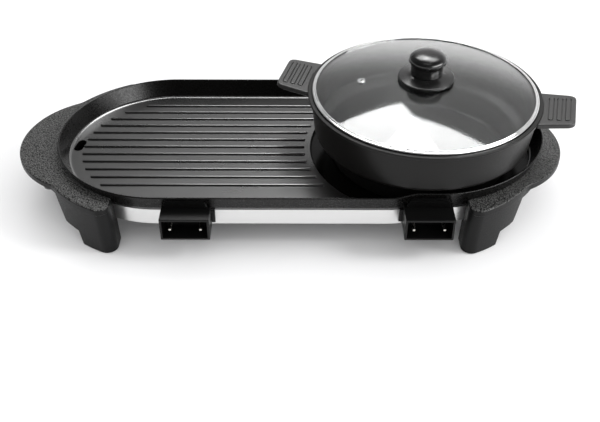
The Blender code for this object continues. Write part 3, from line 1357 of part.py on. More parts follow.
def centre_on_footprint():
    """Moves the empty so that the origin is the middle of the whole footprint."""
    graph = bpy.context.evaluated_depsgraph_get()
    points = []
    for obj in PARTS.objects:
        if obj.type != "EMPTY":
            seen = obj.evaluated_get(graph)
            points += [seen.matrix_world @ vert.co for vert in seen.to_mesh().vertices]
    for axis in range(2):
        values = [point[axis] for point in points]
        ORIGIN.location[axis] = -(min(values) + max(values)) / 2


SKIRT_HOLES, SOCKET_HOLES = hole_tools()
ENVELOPE = body_envelope()
HANDLE_FRAMES = handle_frames()
POT_ENVELOPE = pot_envelope()
grill_pan()
steel_skirt()
bottom_cover()
heaters()
for side_name, side_direction in SIDES.items():
    end_handle(side_name, side_direction)
foot_pads()
for socket_name, socket_x, tab_side in socket_places():
    socket(socket_name, socket_x, tab_side)
socket_fittings()
fasteners()
grease_tray()
tray_rails()
pot_body()
pot_handles()
lid_rim()
lid_glass()
vent_grommet()
knob_pieces()
centre_on_footprint()
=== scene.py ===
import math

import bmesh
import bpy
from mathutils import Matrix, Vector


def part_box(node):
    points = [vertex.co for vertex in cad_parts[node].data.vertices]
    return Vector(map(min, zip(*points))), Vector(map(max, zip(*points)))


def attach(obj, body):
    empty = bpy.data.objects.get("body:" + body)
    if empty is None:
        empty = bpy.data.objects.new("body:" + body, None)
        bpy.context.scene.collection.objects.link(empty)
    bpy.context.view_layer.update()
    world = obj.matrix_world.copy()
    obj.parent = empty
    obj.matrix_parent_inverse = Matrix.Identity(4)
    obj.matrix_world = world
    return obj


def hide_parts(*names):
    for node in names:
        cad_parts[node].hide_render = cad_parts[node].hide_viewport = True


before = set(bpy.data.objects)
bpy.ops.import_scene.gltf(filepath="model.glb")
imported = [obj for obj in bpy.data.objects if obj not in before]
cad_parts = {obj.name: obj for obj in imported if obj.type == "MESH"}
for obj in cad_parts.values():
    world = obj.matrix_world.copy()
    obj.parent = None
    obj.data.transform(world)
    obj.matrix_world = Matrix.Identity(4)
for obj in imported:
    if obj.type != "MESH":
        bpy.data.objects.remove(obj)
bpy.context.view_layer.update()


# The table under the pan: a plain pale surface that stands for a studio's paper sweep.
# It only carries the contact shadow, so it has no more than a faint unevenness.
FLOOR_REACH = 8.0
FLOOR_COLOUR = (0.86, 0.86, 0.865)


def new_finish(name, colour, roughness, metal=0.0, shine=0.5):
    """A material with one shader; a piece's own grain is added to it in that piece's section."""
    finish = bpy.data.materials.new(name)
    finish.use_nodes = True
    shader = finish.node_tree.nodes["Principled BSDF"]
    shader.inputs["Base Color"].default_value = (*colour, 1)
    shader.inputs["Roughness"].default_value = roughness
    shader.inputs["Metallic"].default_value = metal
    shader.inputs["Specular IOR Level"].default_value = shine
    return finish, finish.node_tree, shader


def cloudy(tree, scale, detail=2.0, stretch=(1, 1, 1)):
    """A soft random pattern in the solid, as a number from 0 to 1; scale is in blotches a metre."""
    place = tree.nodes.new("ShaderNodeTexCoord")
    stretched = tree.nodes.new("ShaderNodeMapping")
    stretched.inputs["Scale"].default_value = stretch
    tree.links.new(place.outputs["Object"], stretched.inputs["Vector"])
    noise = tree.nodes.new("ShaderNodeTexNoise")
    noise.inputs["Scale"].default_value = scale
    noise.inputs["Detail"].default_value = detail
    tree.links.new(stretched.outputs["Vector"], noise.inputs["Vector"])
    return noise.outputs["Fac"]


def between(tree, pattern, low, high, start=0.3, end=0.7):
    """The pattern spread from one number to another."""
    spread = tree.nodes.new("ShaderNodeMapRange")
    for name, value in (("From Min", start), ("From Max", end), ("To Min", low), ("To Max", high)):
        spread.inputs[name].default_value = value
    tree.links.new(pattern, spread.inputs["Value"])
    return spread.outputs["Result"]


def between_colours(tree, pattern, dark, light):
    """Two shades of one colour, laid out by the pattern."""
    mix = tree.nodes.new("ShaderNodeMix")
    mix.data_type = "RGBA"
    mix.inputs["A"].default_value = (*dark, 1)
    mix.inputs["B"].default_value = (*light, 1)
    tree.links.new(pattern, mix.inputs["Factor"])
    return mix.outputs["Result"]


def raised(tree, shader, pattern, height, strength=1.0, under=None):
    """Bumps of a height in metres; under is a coarser bump that they lie on."""
    bump = tree.nodes.new("ShaderNodeBump")
    bump.inputs["Distance"].default_value = height
    bump.inputs["Strength"].default_value = strength
    tree.links.new(pattern, bump.inputs["Height"])
    if under is not None:
        tree.links.new(under, bump.inputs["Normal"])
    tree.links.new(bump.outputs["Normal"], shader.inputs["Normal"])
    return bump.outputs["Normal"]


def sheet_mesh(name, corners):
    mesh = bpy.data.meshes.new(name)
    mesh.from_pydata(corners, [], [tuple(range(len(corners)))])
    return mesh


pale_paper, tree, shader = new_finish("pale_paper", FLOOR_COLOUR, 0.75, shine=0.2)
paper_cloud = cloudy(tree, 3.0)
tree.links.new(between_colours(tree, paper_cloud, (0.85, 0.85, 0.855), (0.87, 0.87, 0.875)),
               shader.inputs["Base Color"])
floor = bpy.data.objects.new("floor", sheet_mesh("floor", [
    (-FLOOR_REACH, -FLOOR_REACH, 0), (FLOOR_REACH, -FLOOR_REACH, 0),
    (FLOOR_REACH, FLOOR_REACH, 0), (-FLOOR_REACH, FLOOR_REACH, 0),
]))
floor.data.materials.append(pale_paper)
bpy.context.scene.collection.objects.link(floor)


# The camera looks down on the pan from the front. Softboxes behind it and a card at the
# right show in the gloss, the backdrop is bright low behind, and two keys light the paper.
FRAME_WIDTH = 600
LENS_PIXELS = 864.56
SENSOR_WIDTH = 36.0
CAMERA_PITCH = 0.6714764
CAMERA_ROLL = 0.00204
CAMERA_DISTANCE = 1.15792
LOOK_AT = Vector((0.01086, 0.00554, -0.04639))

forward = Vector((0, math.cos(CAMERA_PITCH), -math.sin(CAMERA_PITCH)))
upward = Vector((0, math.sin(CAMERA_PITCH), math.cos(CAMERA_PITCH)))
sideways = Vector((1, 0, 0))
camera_right = sideways * math.cos(CAMERA_ROLL) + upward * math.sin(CAMERA_ROLL)
camera_up = upward * math.cos(CAMERA_ROLL) - sideways * math.sin(CAMERA_ROLL)
camera_data = bpy.data.cameras.new("camera")
camera_data.sensor_fit = "HORIZONTAL"
camera_data.sensor_width = SENSOR_WIDTH
camera_data.lens = LENS_PIXELS * SENSOR_WIDTH / FRAME_WIDTH
camera_data.clip_start = 0.05
camera = bpy.data.objects.new("camera", camera_data)
turn = Matrix((camera_right, camera_up, -forward)).transposed().to_4x4()
camera.matrix_world = Matrix.Translation(LOOK_AT - forward * CAMERA_DISTANCE) @ turn
bpy.context.scene.collection.objects.link(camera)
bpy.context.scene.camera = camera
bpy.context.scene.view_settings.view_transform = "Standard"


def hung(name, azimuth, elevation, distance, width, height, brightness, roll=0.0, aim=(0.02, 0.0, 0.09)):
    """A flat light turned to the object; brightness is its radiance, azimuth runs from the back to the right."""
    light = bpy.data.lights.new(name, "AREA")
    light.shape = "RECTANGLE"
    light.size, light.size_y = width, height
    light.energy = brightness * math.pi * width * height
    made = bpy.data.objects.new(name, light)
    direction = Vector((math.sin(azimuth) * math.cos(elevation), math.cos(azimuth) * math.cos(elevation),
                        math.sin(elevation)))
    made.location = Vector(aim) + direction * distance
    made.rotation_euler = (direction.to_track_quat("Z", "Y").to_matrix()
                           @ Matrix.Rotation(roll, 3, "Z")).to_euler()
    made.visible_camera = False
    bpy.context.scene.collection.objects.link(made)
    return made


def gloss_card(*place, **turned_by):
    """A light that only shows as a reflection."""
    hung(*place, **turned_by).visible_diffuse = False


def floor_key(*place, **turned_by):
    """A light that brightens the paper and casts the shadow, but doesn't show as a reflection."""
    made = hung(*place, **turned_by)
    made.visible_glossy = False
    made.visible_transmission = False


gloss_card("back_softbox", math.radians(-5.4), math.radians(59.6), 1.7, 0.82, 0.69, 8.8, roll=math.radians(15.2))
gloss_card("right_softbox", math.radians(34.8), math.radians(64.4), 1.7, 0.90, 0.73, 8.8)
gloss_card("right_card", math.radians(122), math.radians(17), 1.6, 1.70, 0.46, 14.0)
gloss_card("front_high_card", math.radians(180), math.radians(66), 2.0, 1.2, 0.5, 1.2)
floor_key("right_key", math.radians(100), math.radians(35), 2.4, 0.8, 0.8, 14.0)
floor_key("back_key", math.radians(-30), math.radians(50), 2.4, 1.0, 1.0, 2.0)

world = bpy.data.worlds.new("studio")
world.use_nodes = True
tree = world.node_tree
background = tree.nodes["Background"]
background.inputs["Color"].default_value = (1, 1, 1, 1)
facing, apart = tree.nodes.new("ShaderNodeTexCoord"), tree.nodes.new("ShaderNodeSeparateXYZ")
tree.links.new(facing.outputs["Generated"], apart.inputs["Vector"])
seen = None
for axis, start, end, low, high in (("Y", -0.30, 0.75, 0.02, 1.0), ("Z", 0.16, 0.46, 1.6, 0.65), ("X", -0.50, 0.15, 0.30, 1.0)):
    ramp = tree.nodes.new("ShaderNodeMapRange")
    ramp.interpolation_type = "SMOOTHSTEP"
    for name, value in (("From Min", start), ("From Max", end), ("To Min", low), ("To Max", high)):
        ramp.inputs[name].default_value = value
    tree.links.new(apart.outputs[axis], ramp.inputs["Value"])
    if seen is None:
        seen = ramp.outputs["Result"]
        continue
    product = tree.nodes.new("ShaderNodeMath")
    product.operation = "MULTIPLY"
    tree.links.new(seen, product.inputs[0])
    tree.links.new(ramp.outputs["Result"], product.inputs[1])
    seen = product.outputs[0]
chosen = tree.nodes.new("ShaderNodeMix")
which_ray = tree.nodes.new("ShaderNodeLightPath")
chosen.inputs["A"].default_value = 1.15
tree.links.new(which_ray.outputs["Is Glossy Ray"], chosen.inputs["Factor"])
tree.links.new(seen, chosen.inputs["B"])
tree.links.new(chosen.outputs["Result"], background.inputs["Strength"])
bpy.context.scene.world = world


# Grill pan: one aluminium casting with a rolled rim, round at both ends and drawn in at
# the neck, black non-stick coated. The ribbed floor ends in an arc, past which the floor
# is sunk for the pot. It carries all other pieces.
PAN_HALF_WIDTH = 0.134
POT_END_HALF_WIDTH = 0.1297
POT_END_REACH = 0.1365
POT_END_POWER = 1.8
PAN_LOW, PAN_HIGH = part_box("grill_pan")
MIDDLE_Y = (PAN_LOW.y + PAN_HIGH.y) / 2
GRILL_END_X = PAN_LOW.x + PAN_HALF_WIDTH
POT_END_X = PAN_HIGH.x - POT_END_REACH
POT_X = POT_END_X - 0.0155
NECK_X = POT_X - 0.047
NECK_LENGTH = 0.034
RIM_HEIGHT = 0.078
RIM_STEP = 0.0038
RIM_ROLL = 0.0012
SHOULDER_Z = 0.055
SHOULDER_INSET = 0.009
FLOOR_INSET = 0.0125
FLOOR_Z = 0.056
FLOOR_UNDERSIDE = 0.052
WELL_Z = 0.0515
WELL_UNDERSIDE = 0.0475
WELL_RADIUS = 0.137
DRAIN_AT = (PAN_LOW.x + 0.0218, MIDDLE_Y + 0.004)
DRAIN_LENGTH, DRAIN_WIDTH = 0.0240, 0.0108
DRAIN_TURN = math.radians(80)
SPOUT_AT = (PAN_LOW.x + 0.0222, MIDDLE_Y + 0.004)
SPOUT_LENGTH, SPOUT_WIDTH = 0.027, 0.015
SPOUT_TURN = math.radians(68)
END_STEPS = 96
NECK_STEPS = 20


def arc(x, y, radius, start, end, steps):
    return [(x + radius * math.cos(start + (end - start) * i / steps),
             y + radius * math.sin(start + (end - start) * i / steps)) for i in range(steps + 1)]


def softened(corners, steps=8, closed=True):
    """A line with its corners rounded; each corner's third number is how far from it the bend starts."""
    points = []
    last = len(corners) - 1
    for i, (x, y, reach) in enumerate(corners):
        if reach == 0 or (not closed and i in (0, last)):
            points.append((x, y))
            continue
        here = Vector((x, y))
        before = (Vector(corners[i - 1][:2]) - here).normalized() * reach
        after = (Vector(corners[(i + 1) % len(corners)][:2]) - here).normalized() * reach
        for k in range(steps + 1):
            t = k / steps
            point = here + before * (1 - t) ** 2 + after * t ** 2
            points.append((point.x, point.y))
    return points


def neck_share(x):
    share = min(max((x - NECK_X) / NECK_LENGTH, 0), 1)
    return share * share * (3 - 2 * share)


def half_width(x):
    return PAN_HALF_WIDTH + (POT_END_HALF_WIDTH - PAN_HALF_WIDTH) * neck_share(x)


def pot_end(inset):
    reach, width = POT_END_REACH - inset, POT_END_HALF_WIDTH - inset
    return [(POT_END_X + max(x, 0) ** (2 / POT_END_POWER) * reach,
             math.copysign(abs(y) ** (2 / POT_END_POWER), y) * width)
            for x, y in arc(0, 0, 1, -math.pi / 2, math.pi / 2, END_STEPS)]


def neck_side(inset, start=None):
    stations = [NECK_X + NECK_LENGTH * i / NECK_STEPS for i in range(NECK_STEPS + 1)]
    if start is not None:
        stations = [start] + stations
    return [(x, inset - half_width(x)) for x in stations]


def pan_edge(inset):
    """The pan from above with its edge drawn in, as offsets from the middle line."""
    front = neck_side(inset)
    back = [(x, -y) for x, y in reversed(front)]
    grill_end = arc(GRILL_END_X, 0, PAN_HALF_WIDTH - inset, math.pi / 2, 1.5 * math.pi, END_STEPS)
    return front + pot_end(inset) + back + grill_end


def well_edge(inset, radius):
    width = PAN_HALF_WIDTH - inset
    start = POT_X - math.sqrt(radius ** 2 - width ** 2)
    front = neck_side(inset, start)
    back = [(x, -y) for x, y in reversed(front)]
    sweep = math.asin(width / radius)
    return front + pot_end(inset) + back + arc(POT_X, 0, radius, math.pi - sweep, math.pi + sweep, END_STEPS)[1:-1]


def at_height(outline, z, rise=0.0):
    """An outline about the middle line set at a height, with a share of the rim's step up."""
    return [(x, y + MIDDLE_Y, z + rise * RIM_STEP * neck_share(x)) for x, y in outline]


def skinned(name, loops, ring=False):
    """A closed skin over outlines of equal counts, capped at both ends or joined into a ring."""
    bm = bmesh.new()
    rows = [[bm.verts.new(point) for point in loop] for loop in loops]
    pairs = list(zip(rows, rows[1:])) + ([(rows[-1], rows[0])] if ring else [])
    count = len(rows[0])
    for low, high in pairs:
        for i in range(count):
            j = (i + 1) % count
            bm.faces.new((low[i], low[j], high[j], high[i]))
    if not ring:
        bm.faces.new(rows[0])
        bm.faces.new(rows[-1])
    bmesh.ops.recalc_face_normals(bm, faces=bm.faces[:])
    mesh = bpy.data.meshes.new(name)
    bm.to_mesh(mesh)
    bm.free()
    return mesh


def evaluated(obj):
    """What an object's modifiers make, as a plain mesh; the object goes."""
    bpy.context.view_layer.update()
    graph = bpy.context.evaluated_depsgraph_get()
    mesh = bpy.data.meshes.new_from_object(obj.evaluated_get(graph))
    name = obj.name
    bpy.data.objects.remove(obj)
    mesh.name = name
    return mesh


def worked(mesh, other, operation):
    """The mesh with another cut from it or joined to it."""
    made = []
    for name, data in (("worked", mesh), ("tool", other)):
        obj = bpy.data.objects.new(name, data)
        bpy.context.scene.collection.objects.link(obj)
        made.append(obj)
    boolean = made[0].modifiers.new("boolean", "BOOLEAN")
    boolean.operation, boolean.object = operation, made[1]
    result = evaluated(made[0])
    bpy.data.objects.remove(made[1])
    return result


def fitted(name, mesh, finish, body, nodes=(), angle=math.radians(32), flats=True, others=()):
    """Makes a finished mesh a piece: smooth but for its creases, in its finish, riding on its body.

    Each of others is a finish and a test of a face's centre that says where it is used instead."""
    mesh.shade_smooth()
    mesh.set_sharp_from_angle(angle=angle)
    obj = bpy.data.objects.new(name, mesh)
    bpy.context.scene.collection.objects.link(obj)
    if flats:
        weighted = obj.modifiers.new("flats", "WEIGHTED_NORMAL")
        weighted.keep_sharp = True
    mesh = evaluated(obj)
    mesh.materials.clear()
    for used in [finish] + [other for other, holds in others]:
        mesh.materials.append(used)
    for face in mesh.polygons:
        face.material_index = max([0] + [i for i, (other, holds) in enumerate(others, 1) if holds(face.center)])
    obj = bpy.data.objects.new(name, mesh)
    bpy.context.scene.collection.objects.link(obj)
    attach(obj, body)
    if nodes:
        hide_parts(*nodes)
    return obj


def obround(x, y, length, width, angle, steps=12):
    """A slot shape about a point, its long way along the angle."""
    radius, reach = width / 2, (length - width) / 2
    points = arc(reach, 0, radius, -math.pi / 2, math.pi / 2, steps)
    points += arc(-reach, 0, radius, math.pi / 2, 1.5 * math.pi, steps)
    cosine, sine = math.cos(angle), math.sin(angle)
    return [(x + a * cosine - b * sine, y + a * sine + b * cosine) for a, b in points]


pan_coat, tree, shader = new_finish("pan_coat", (0.0018, 0.0017, 0.0016), 0.28, shine=0.24)
grain = cloudy(tree, 900.0, 3.0)
tree.links.new(between_colours(tree, grain, (0.0012, 0.0011, 0.0010), (0.0030, 0.0028, 0.0026)),
               shader.inputs["Base Color"])
tree.links.new(between(tree, cloudy(tree, 420.0), 0.24, 0.34), shader.inputs["Roughness"])
orange_peel = raised(tree, shader, cloudy(tree, 620.0, 2.0), 0.00012, 0.5)
raised(tree, shader, grain, 0.00005, 0.4, under=orange_peel)

grill_coat, tree, shader = new_finish("grill_coat", (0.004, 0.0038, 0.0037), 0.28, shine=1.0)
tree.links.new(between_colours(tree, cloudy(tree, 260.0, 3.0), (0.003, 0.0028, 0.0027), (0.007, 0.0066, 0.0064)),
               shader.inputs["Base Color"])
tree.links.new(between(tree, cloudy(tree, 25.0, 2.0, (0.4, 1, 1)), 0.26, 0.30), shader.inputs["Roughness"])
shader.inputs["Coat Weight"].default_value = 1.0
shader.inputs["Coat Roughness"].default_value = 0.17

# The sunk floor's coat is the pan's coat made darker and less shiny: painted shade in the well, on a smoother finish
# than the walls.
well_coat_painted_shade, tree, shader = new_finish("well_coat_painted_shade", (0.0012, 0.0011, 0.0010), 0.16, shine=0.16)
tree.links.new(between(tree, cloudy(tree, 300.0, 3.0), 0.13, 0.20), shader.inputs["Roughness"])

rim_top = RIM_HEIGHT - RIM_ROLL
lower_inset = SHOULDER_INSET + 0.0015
wall = softened([
    (RIM_ROLL * 2, rim_top, 0), (0.0116, FLOOR_Z, 0.0032), (0.0165, FLOOR_Z, 0),
], 8, closed=False)
section = [(lower_inset, FLOOR_UNDERSIDE, 0), (lower_inset, SHOULDER_Z, 0), (SHOULDER_INSET, SHOULDER_Z, 0)]
section += [(SHOULDER_INSET * (1 - i / 6), SHOULDER_Z + (rim_top - SHOULDER_Z) * i / 6, i / 6) for i in range(1, 6)]
section += [(RIM_ROLL * (1 - math.cos(math.pi * i / 10)), rim_top + RIM_ROLL * math.sin(math.pi * i / 10), 1)
            for i in range(11)]
section += [(inset, z, max(z - FLOOR_Z, 0) / (rim_top - FLOOR_Z)) for inset, z in wall[1:]]
pan = skinned("pan_shell", [at_height(pan_edge(inset), z, rise) for inset, z, rise in section])
well_lump = skinned("well_lump", [
    at_height(well_edge(FLOOR_INSET + 0.001, WELL_RADIUS + 0.004), z) for z in (WELL_UNDERSIDE, FLOOR_UNDERSIDE + 0.002)
])
well_sink = skinned("well_sink", [
    at_height(well_edge(FLOOR_INSET + inset, WELL_RADIUS - draw), z) for inset, draw, z in (
        (0.0030, 0.0020, WELL_Z), (0.0022, 0.0012, WELL_Z + 0.0003), (0.0020, 0.0009, WELL_Z + 0.0009),
        (0.0014, 0.0002, FLOOR_Z - 0.0010), (0.0011, -0.0002, FLOOR_Z - 0.0004), (0.0006, -0.0009, FLOOR_Z + 0.0001),
        (0.0004, -0.0014, FLOOR_Z + 0.0020),
    )
])
drain_tool = skinned("drain_tool", [
    [(x, y, z) for x, y in obround(*DRAIN_AT, DRAIN_LENGTH + wide, DRAIN_WIDTH + wide, DRAIN_TURN)]
    for wide, z in ((0, 0.020), (0, FLOOR_Z - 0.0004), (0.0002, FLOOR_Z - 0.0001), (0.0005, FLOOR_Z), (0.0005, FLOOR_Z + 0.004))
])
spout = skinned("drain_spout", [
    [(x, y, z) for x, y in obround(*SPOUT_AT, SPOUT_LENGTH - narrow, SPOUT_WIDTH - narrow, SPOUT_TURN)]
    for narrow, z in ((0, FLOOR_UNDERSIDE + 0.002), (0, 0.0321), (0.0006, PAN_LOW.z))
])
pan = worked(pan, well_lump, "UNION")
pan = worked(pan, spout, "UNION")
pan = worked(pan, well_sink, "DIFFERENCE")
pan = worked(pan, drain_tool, "DIFFERENCE")
fitted("pan_shell", pan, pan_coat, "base", ["grill_pan"], others=(
    (grill_coat, lambda at: FLOOR_Z - 0.00002 < at.z < FLOOR_Z + 0.0016),
    # The sunk floor takes the darker coat: painted shade.
    (well_coat_painted_shade, lambda at: WELL_Z - 0.0001 < at.z < FLOOR_Z - 0.0002
     and math.hypot(at.x - POT_X, at.y - MIDDLE_Y) < WELL_RADIUS + 0.002),
))


# Cover bosses: short posts cast under the pan, into which the bottom cover is screwed.
# They are part of the same casting, out of sight inside the skirt.
BOSS_RADIUS = 0.0045
BOSS_SPACING = 0.205
BOSS_INSET = 0.028
COVER_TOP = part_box("bottom_cover")[0].z + 0.0012


def edge_y(x, inset):
    """Half width of the pan at a place along it, drawn in by inset."""
    if x < GRILL_END_X:
        return math.sqrt((PAN_HALF_WIDTH - inset) ** 2 - (x - GRILL_END_X) ** 2)
    if x > POT_END_X:
        share = (x - POT_END_X) / (POT_END_REACH - inset)
        return (POT_END_HALF_WIDTH - inset) * (1 - share ** POT_END_POWER) ** (1 / POT_END_POWER)
    return half_width(x) - inset


def turned(name, profile, steps, at=(0, 0, 0), closed=False, turn=None):
    """A round piece from (radius, height) points; a closed profile makes a ring, a plain one ends on the axis."""
    bm = bmesh.new()
    rows = []
    for radius, z in profile:
        if radius < 1e-7:
            rows.append([bm.verts.new((0, 0, z))])
        else:
            rows.append([bm.verts.new((x, y, z)) for x, y in arc(0, 0, radius, 0, 2 * math.pi, steps)[:-1]])
    for low, high in list(zip(rows, rows[1:])) + ([(rows[-1], rows[0])] if closed else []):
        for i in range(steps):
            j = (i + 1) % steps
            ends = [low[i % len(low)], low[j % len(low)], high[j % len(high)], high[i % len(high)]]
            bm.faces.new([vert for k, vert in enumerate(ends) if vert not in ends[:k]])
    bmesh.ops.recalc_face_normals(bm, faces=bm.faces[:])
    if turn is not None:
        bm.transform(turn.to_4x4())
    bm.transform(Matrix.Translation(at))
    mesh = bpy.data.meshes.new(name)
    bm.to_mesh(mesh)
    bm.free()
    return mesh


def gathered(name, meshes):
    """Several closed meshes in one."""
    bm = bmesh.new()
    for mesh in meshes:
        bm.from_mesh(mesh)
    made = bpy.data.meshes.new(name)
    bm.to_mesh(made)
    bm.free()
    return made


boss_places = [(POT_X - 0.15 + x, side * edge_y(POT_X - 0.15 + x, BOSS_INSET))
               for x in (-BOSS_SPACING, 0, BOSS_SPACING) for side in (-1, 1)]
bosses = [turned("boss", [
    (0, FLOOR_UNDERSIDE + 0.0010), (BOSS_RADIUS + 0.0006, FLOOR_UNDERSIDE + 0.0010),
    (BOSS_RADIUS, WELL_UNDERSIDE - 0.0010), (BOSS_RADIUS, COVER_TOP + 0.0006), (BOSS_RADIUS - 0.0004, COVER_TOP + 0.0002),
    (0.0018, COVER_TOP + 0.0002), (0.0018, COVER_TOP + 0.0090), (0, COVER_TOP + 0.0095),
], 32, (x, y + MIDDLE_Y, 0)) for x, y in boss_places]
fitted("cover_bosses", gathered("cover_bosses", bosses), pan_coat, "base")


# Grill ribs: twelve low ridges cast on the floor, all of one section with rounded crowns
# and ends. They run from an arc inside the floor's edge to an arc round the pot.
RIB_COUNT = 12
RIB_PITCH = 0.0162
RIB_OFFSET = 0.0097
RIB_WIDTH = 0.0042
RIB_HEIGHT = 0.0020
RIB_GRILL_ARC = PAN_HALF_WIDTH - FLOOR_INSET - 0.0143
RIB_POT_ARC = WELL_RADIUS + 0.0075


def new_rows(name, inputs):
    """An empty node tree for repeated pieces, with its named inputs and a geometry in and out."""
    group = bpy.data.node_groups.new(name, "GeometryNodeTree")
    group.interface.new_socket(name="Geometry", in_out="INPUT", socket_type="NodeSocketGeometry")
    group.interface.new_socket(name="Geometry", in_out="OUTPUT", socket_type="NodeSocketGeometry")
    for label, kind in inputs:
        group.interface.new_socket(name=label, in_out="INPUT", socket_type="NodeSocket" + kind)
    return group, group.nodes.new("NodeGroupInput"), group.nodes.new("NodeGroupOutput")


def calculated(group, operation, *values):
    """One sum in a node tree, of sockets and numbers."""
    node = group.nodes.new("ShaderNodeMath")
    node.operation = operation
    for socket, value in zip(node.inputs, values):
        if isinstance(value, (int, float)):
            socket.default_value = value
        else:
            group.links.new(value, socket)
    return node.outputs[0]


def made_by(group, obj, values):
    """Runs a tree on an object with its inputs set, and gives the plain mesh."""
    modifier = obj.modifiers.new(group.name, "NODES")
    modifier.node_group = group
    for item in group.interface.items_tree:
        if item.item_type == "SOCKET" and item.in_out == "INPUT" and item.name in values:
            modifier[item.identifier] = values[item.name]
    return evaluated(obj)


def rib_tree():
    group, given, result = new_rows("rib_rows", [
        ("Ribs", "Int"), ("Pitch", "Float"), ("First rib", "Float"), ("Middle line", "Float"),
        ("Grill centre", "Float"), ("Grill arc", "Float"), ("Pot centre", "Float"), ("Pot arc", "Float"),
        ("Floor height", "Float"), ("Width", "Float"), ("Height", "Float"),
        ("Finish", "Material"),
    ])
    new, link, value = group.nodes.new, group.links.new, given.outputs
    rows, start, step = new("GeometryNodeMeshLine"), new("ShaderNodeCombineXYZ"), new("ShaderNodeCombineXYZ")
    link(value["Ribs"], rows.inputs["Count"])
    link(value["First rib"], start.inputs["Y"])
    link(value["Floor height"], start.inputs["Z"])
    link(value["Pitch"], step.inputs["Y"])
    link(start.outputs[0], rows.inputs["Start Location"])
    link(step.outputs[0], rows.inputs["Offset"])
    line, points = new("GeometryNodeCurvePrimitiveLine"), new("GeometryNodeResampleCurve")
    line.inputs["End"].default_value = (1, 0, 0)
    points.inputs["Count"].default_value = 16
    link(line.outputs["Curve"], points.inputs["Curve"])
    placed, real = new("GeometryNodeInstanceOnPoints"), new("GeometryNodeRealizeInstances")
    link(rows.outputs["Mesh"], placed.inputs["Points"])
    link(points.outputs["Curve"], placed.inputs["Instance"])
    link(placed.outputs["Instances"], real.inputs["Geometry"])
    position, parts = new("GeometryNodeInputPosition"), new("ShaderNodeSeparateXYZ")
    link(position.outputs[0], parts.inputs[0])
    share, y = parts.outputs["X"], calculated(group, "SUBTRACT", parts.outputs["Y"], value["Middle line"])
    near_end = calculated(group, "MINIMUM", share, calculated(group, "SUBTRACT", 1.0, share))
    quarter = calculated(group, "MULTIPLY", calculated(group, "MINIMUM", calculated(group, "MULTIPLY", near_end, 15 / 7), 1.0),
                         math.pi / 2)
    in_from_end = calculated(group, "MULTIPLY", calculated(group, "SUBTRACT", 1.0, calculated(group, "COSINE", quarter)),
                             calculated(group, "MULTIPLY", value["Width"], 0.5))

    def arc_x(centre, radius):
        squared = calculated(group, "SUBTRACT", calculated(group, "MULTIPLY", radius, radius),
                             calculated(group, "MULTIPLY", y, y))
        return calculated(group, "SUBTRACT", centre, calculated(group, "SQRT", squared))

    left = calculated(group, "ADD", arc_x(value["Grill centre"], value["Grill arc"]), in_from_end)
    right = calculated(group, "SUBTRACT", arc_x(value["Pot centre"], value["Pot arc"]), in_from_end)
    far = calculated(group, "GREATER_THAN", share, 0.5)
    x = calculated(group, "ADD", calculated(group, "MULTIPLY", right, far),
                   calculated(group, "MULTIPLY", left, calculated(group, "SUBTRACT", 1.0, far)))
    where, moved = new("ShaderNodeCombineXYZ"), new("GeometryNodeSetPosition")
    link(x, where.inputs["X"])
    link(parts.outputs["Y"], where.inputs["Y"])
    link(parts.outputs["Z"], where.inputs["Z"])
    thick, upright = new("GeometryNodeSetCurveRadius"), new("GeometryNodeSetCurveNormal")
    upright.mode = "Z_UP"
    link(real.outputs["Geometry"], thick.inputs["Curve"])
    link(calculated(group, "MAXIMUM", calculated(group, "SINE", quarter), 0.0), thick.inputs["Radius"])
    link(thick.outputs["Curve"], moved.inputs["Geometry"])
    link(where.outputs[0], moved.inputs["Position"])
    link(moved.outputs["Geometry"], upright.inputs["Curve"])
    circle, section = new("GeometryNodeCurvePrimitiveCircle"), new("GeometryNodeSetPosition")
    circle.inputs["Resolution"].default_value = 44
    circle.inputs["Radius"].default_value = 1
    around, corner = new("GeometryNodeInputPosition"), new("ShaderNodeSeparateXYZ")
    link(around.outputs[0], corner.inputs[0])

    def squared_off(coordinate, power, size):
        bent = calculated(group, "POWER", calculated(group, "ABSOLUTE", coordinate), power)
        return calculated(group, "MULTIPLY", calculated(group, "MULTIPLY", bent, calculated(group, "SIGN", coordinate)), size)

    rounded = new("ShaderNodeCombineXYZ")
    link(squared_off(corner.outputs["X"], 2 / 3.0, calculated(group, "MULTIPLY", value["Width"], 0.5)), rounded.inputs["X"])
    link(squared_off(corner.outputs["Y"], 2 / 2.8, value["Height"]), rounded.inputs["Y"])
    link(circle.outputs["Curve"], section.inputs["Geometry"])
    link(rounded.outputs[0], section.inputs["Position"])
    solid, merged = new("GeometryNodeCurveToMesh"), new("GeometryNodeMergeByDistance")
    solid.inputs["Fill Caps"].default_value = False
    merged.inputs["Distance"].default_value = 0.000002
    link(upright.outputs["Curve"], solid.inputs["Curve"])
    link(section.outputs["Geometry"], solid.inputs["Profile Curve"])
    size = new("GeometryNodeInputRadius")
    link(size.outputs["Radius"], solid.inputs["Scale"])
    link(solid.outputs["Mesh"], merged.inputs["Geometry"])
    last, coat = new("GeometryNodeRealizeInstances"), new("GeometryNodeSetMaterial")
    link(merged.outputs["Geometry"], last.inputs["Geometry"])
    link(last.outputs["Geometry"], coat.inputs["Geometry"])
    link(value["Finish"], coat.inputs["Material"])
    link(coat.outputs["Geometry"], result.inputs["Geometry"])
    return group


def outwards(mesh):
    """The mesh with its faces turned to point out."""
    bm = bmesh.new()
    bm.from_mesh(mesh)
    bmesh.ops.recalc_face_normals(bm, faces=bm.faces[:])
    bm.to_mesh(mesh)
    bm.free()
    return mesh


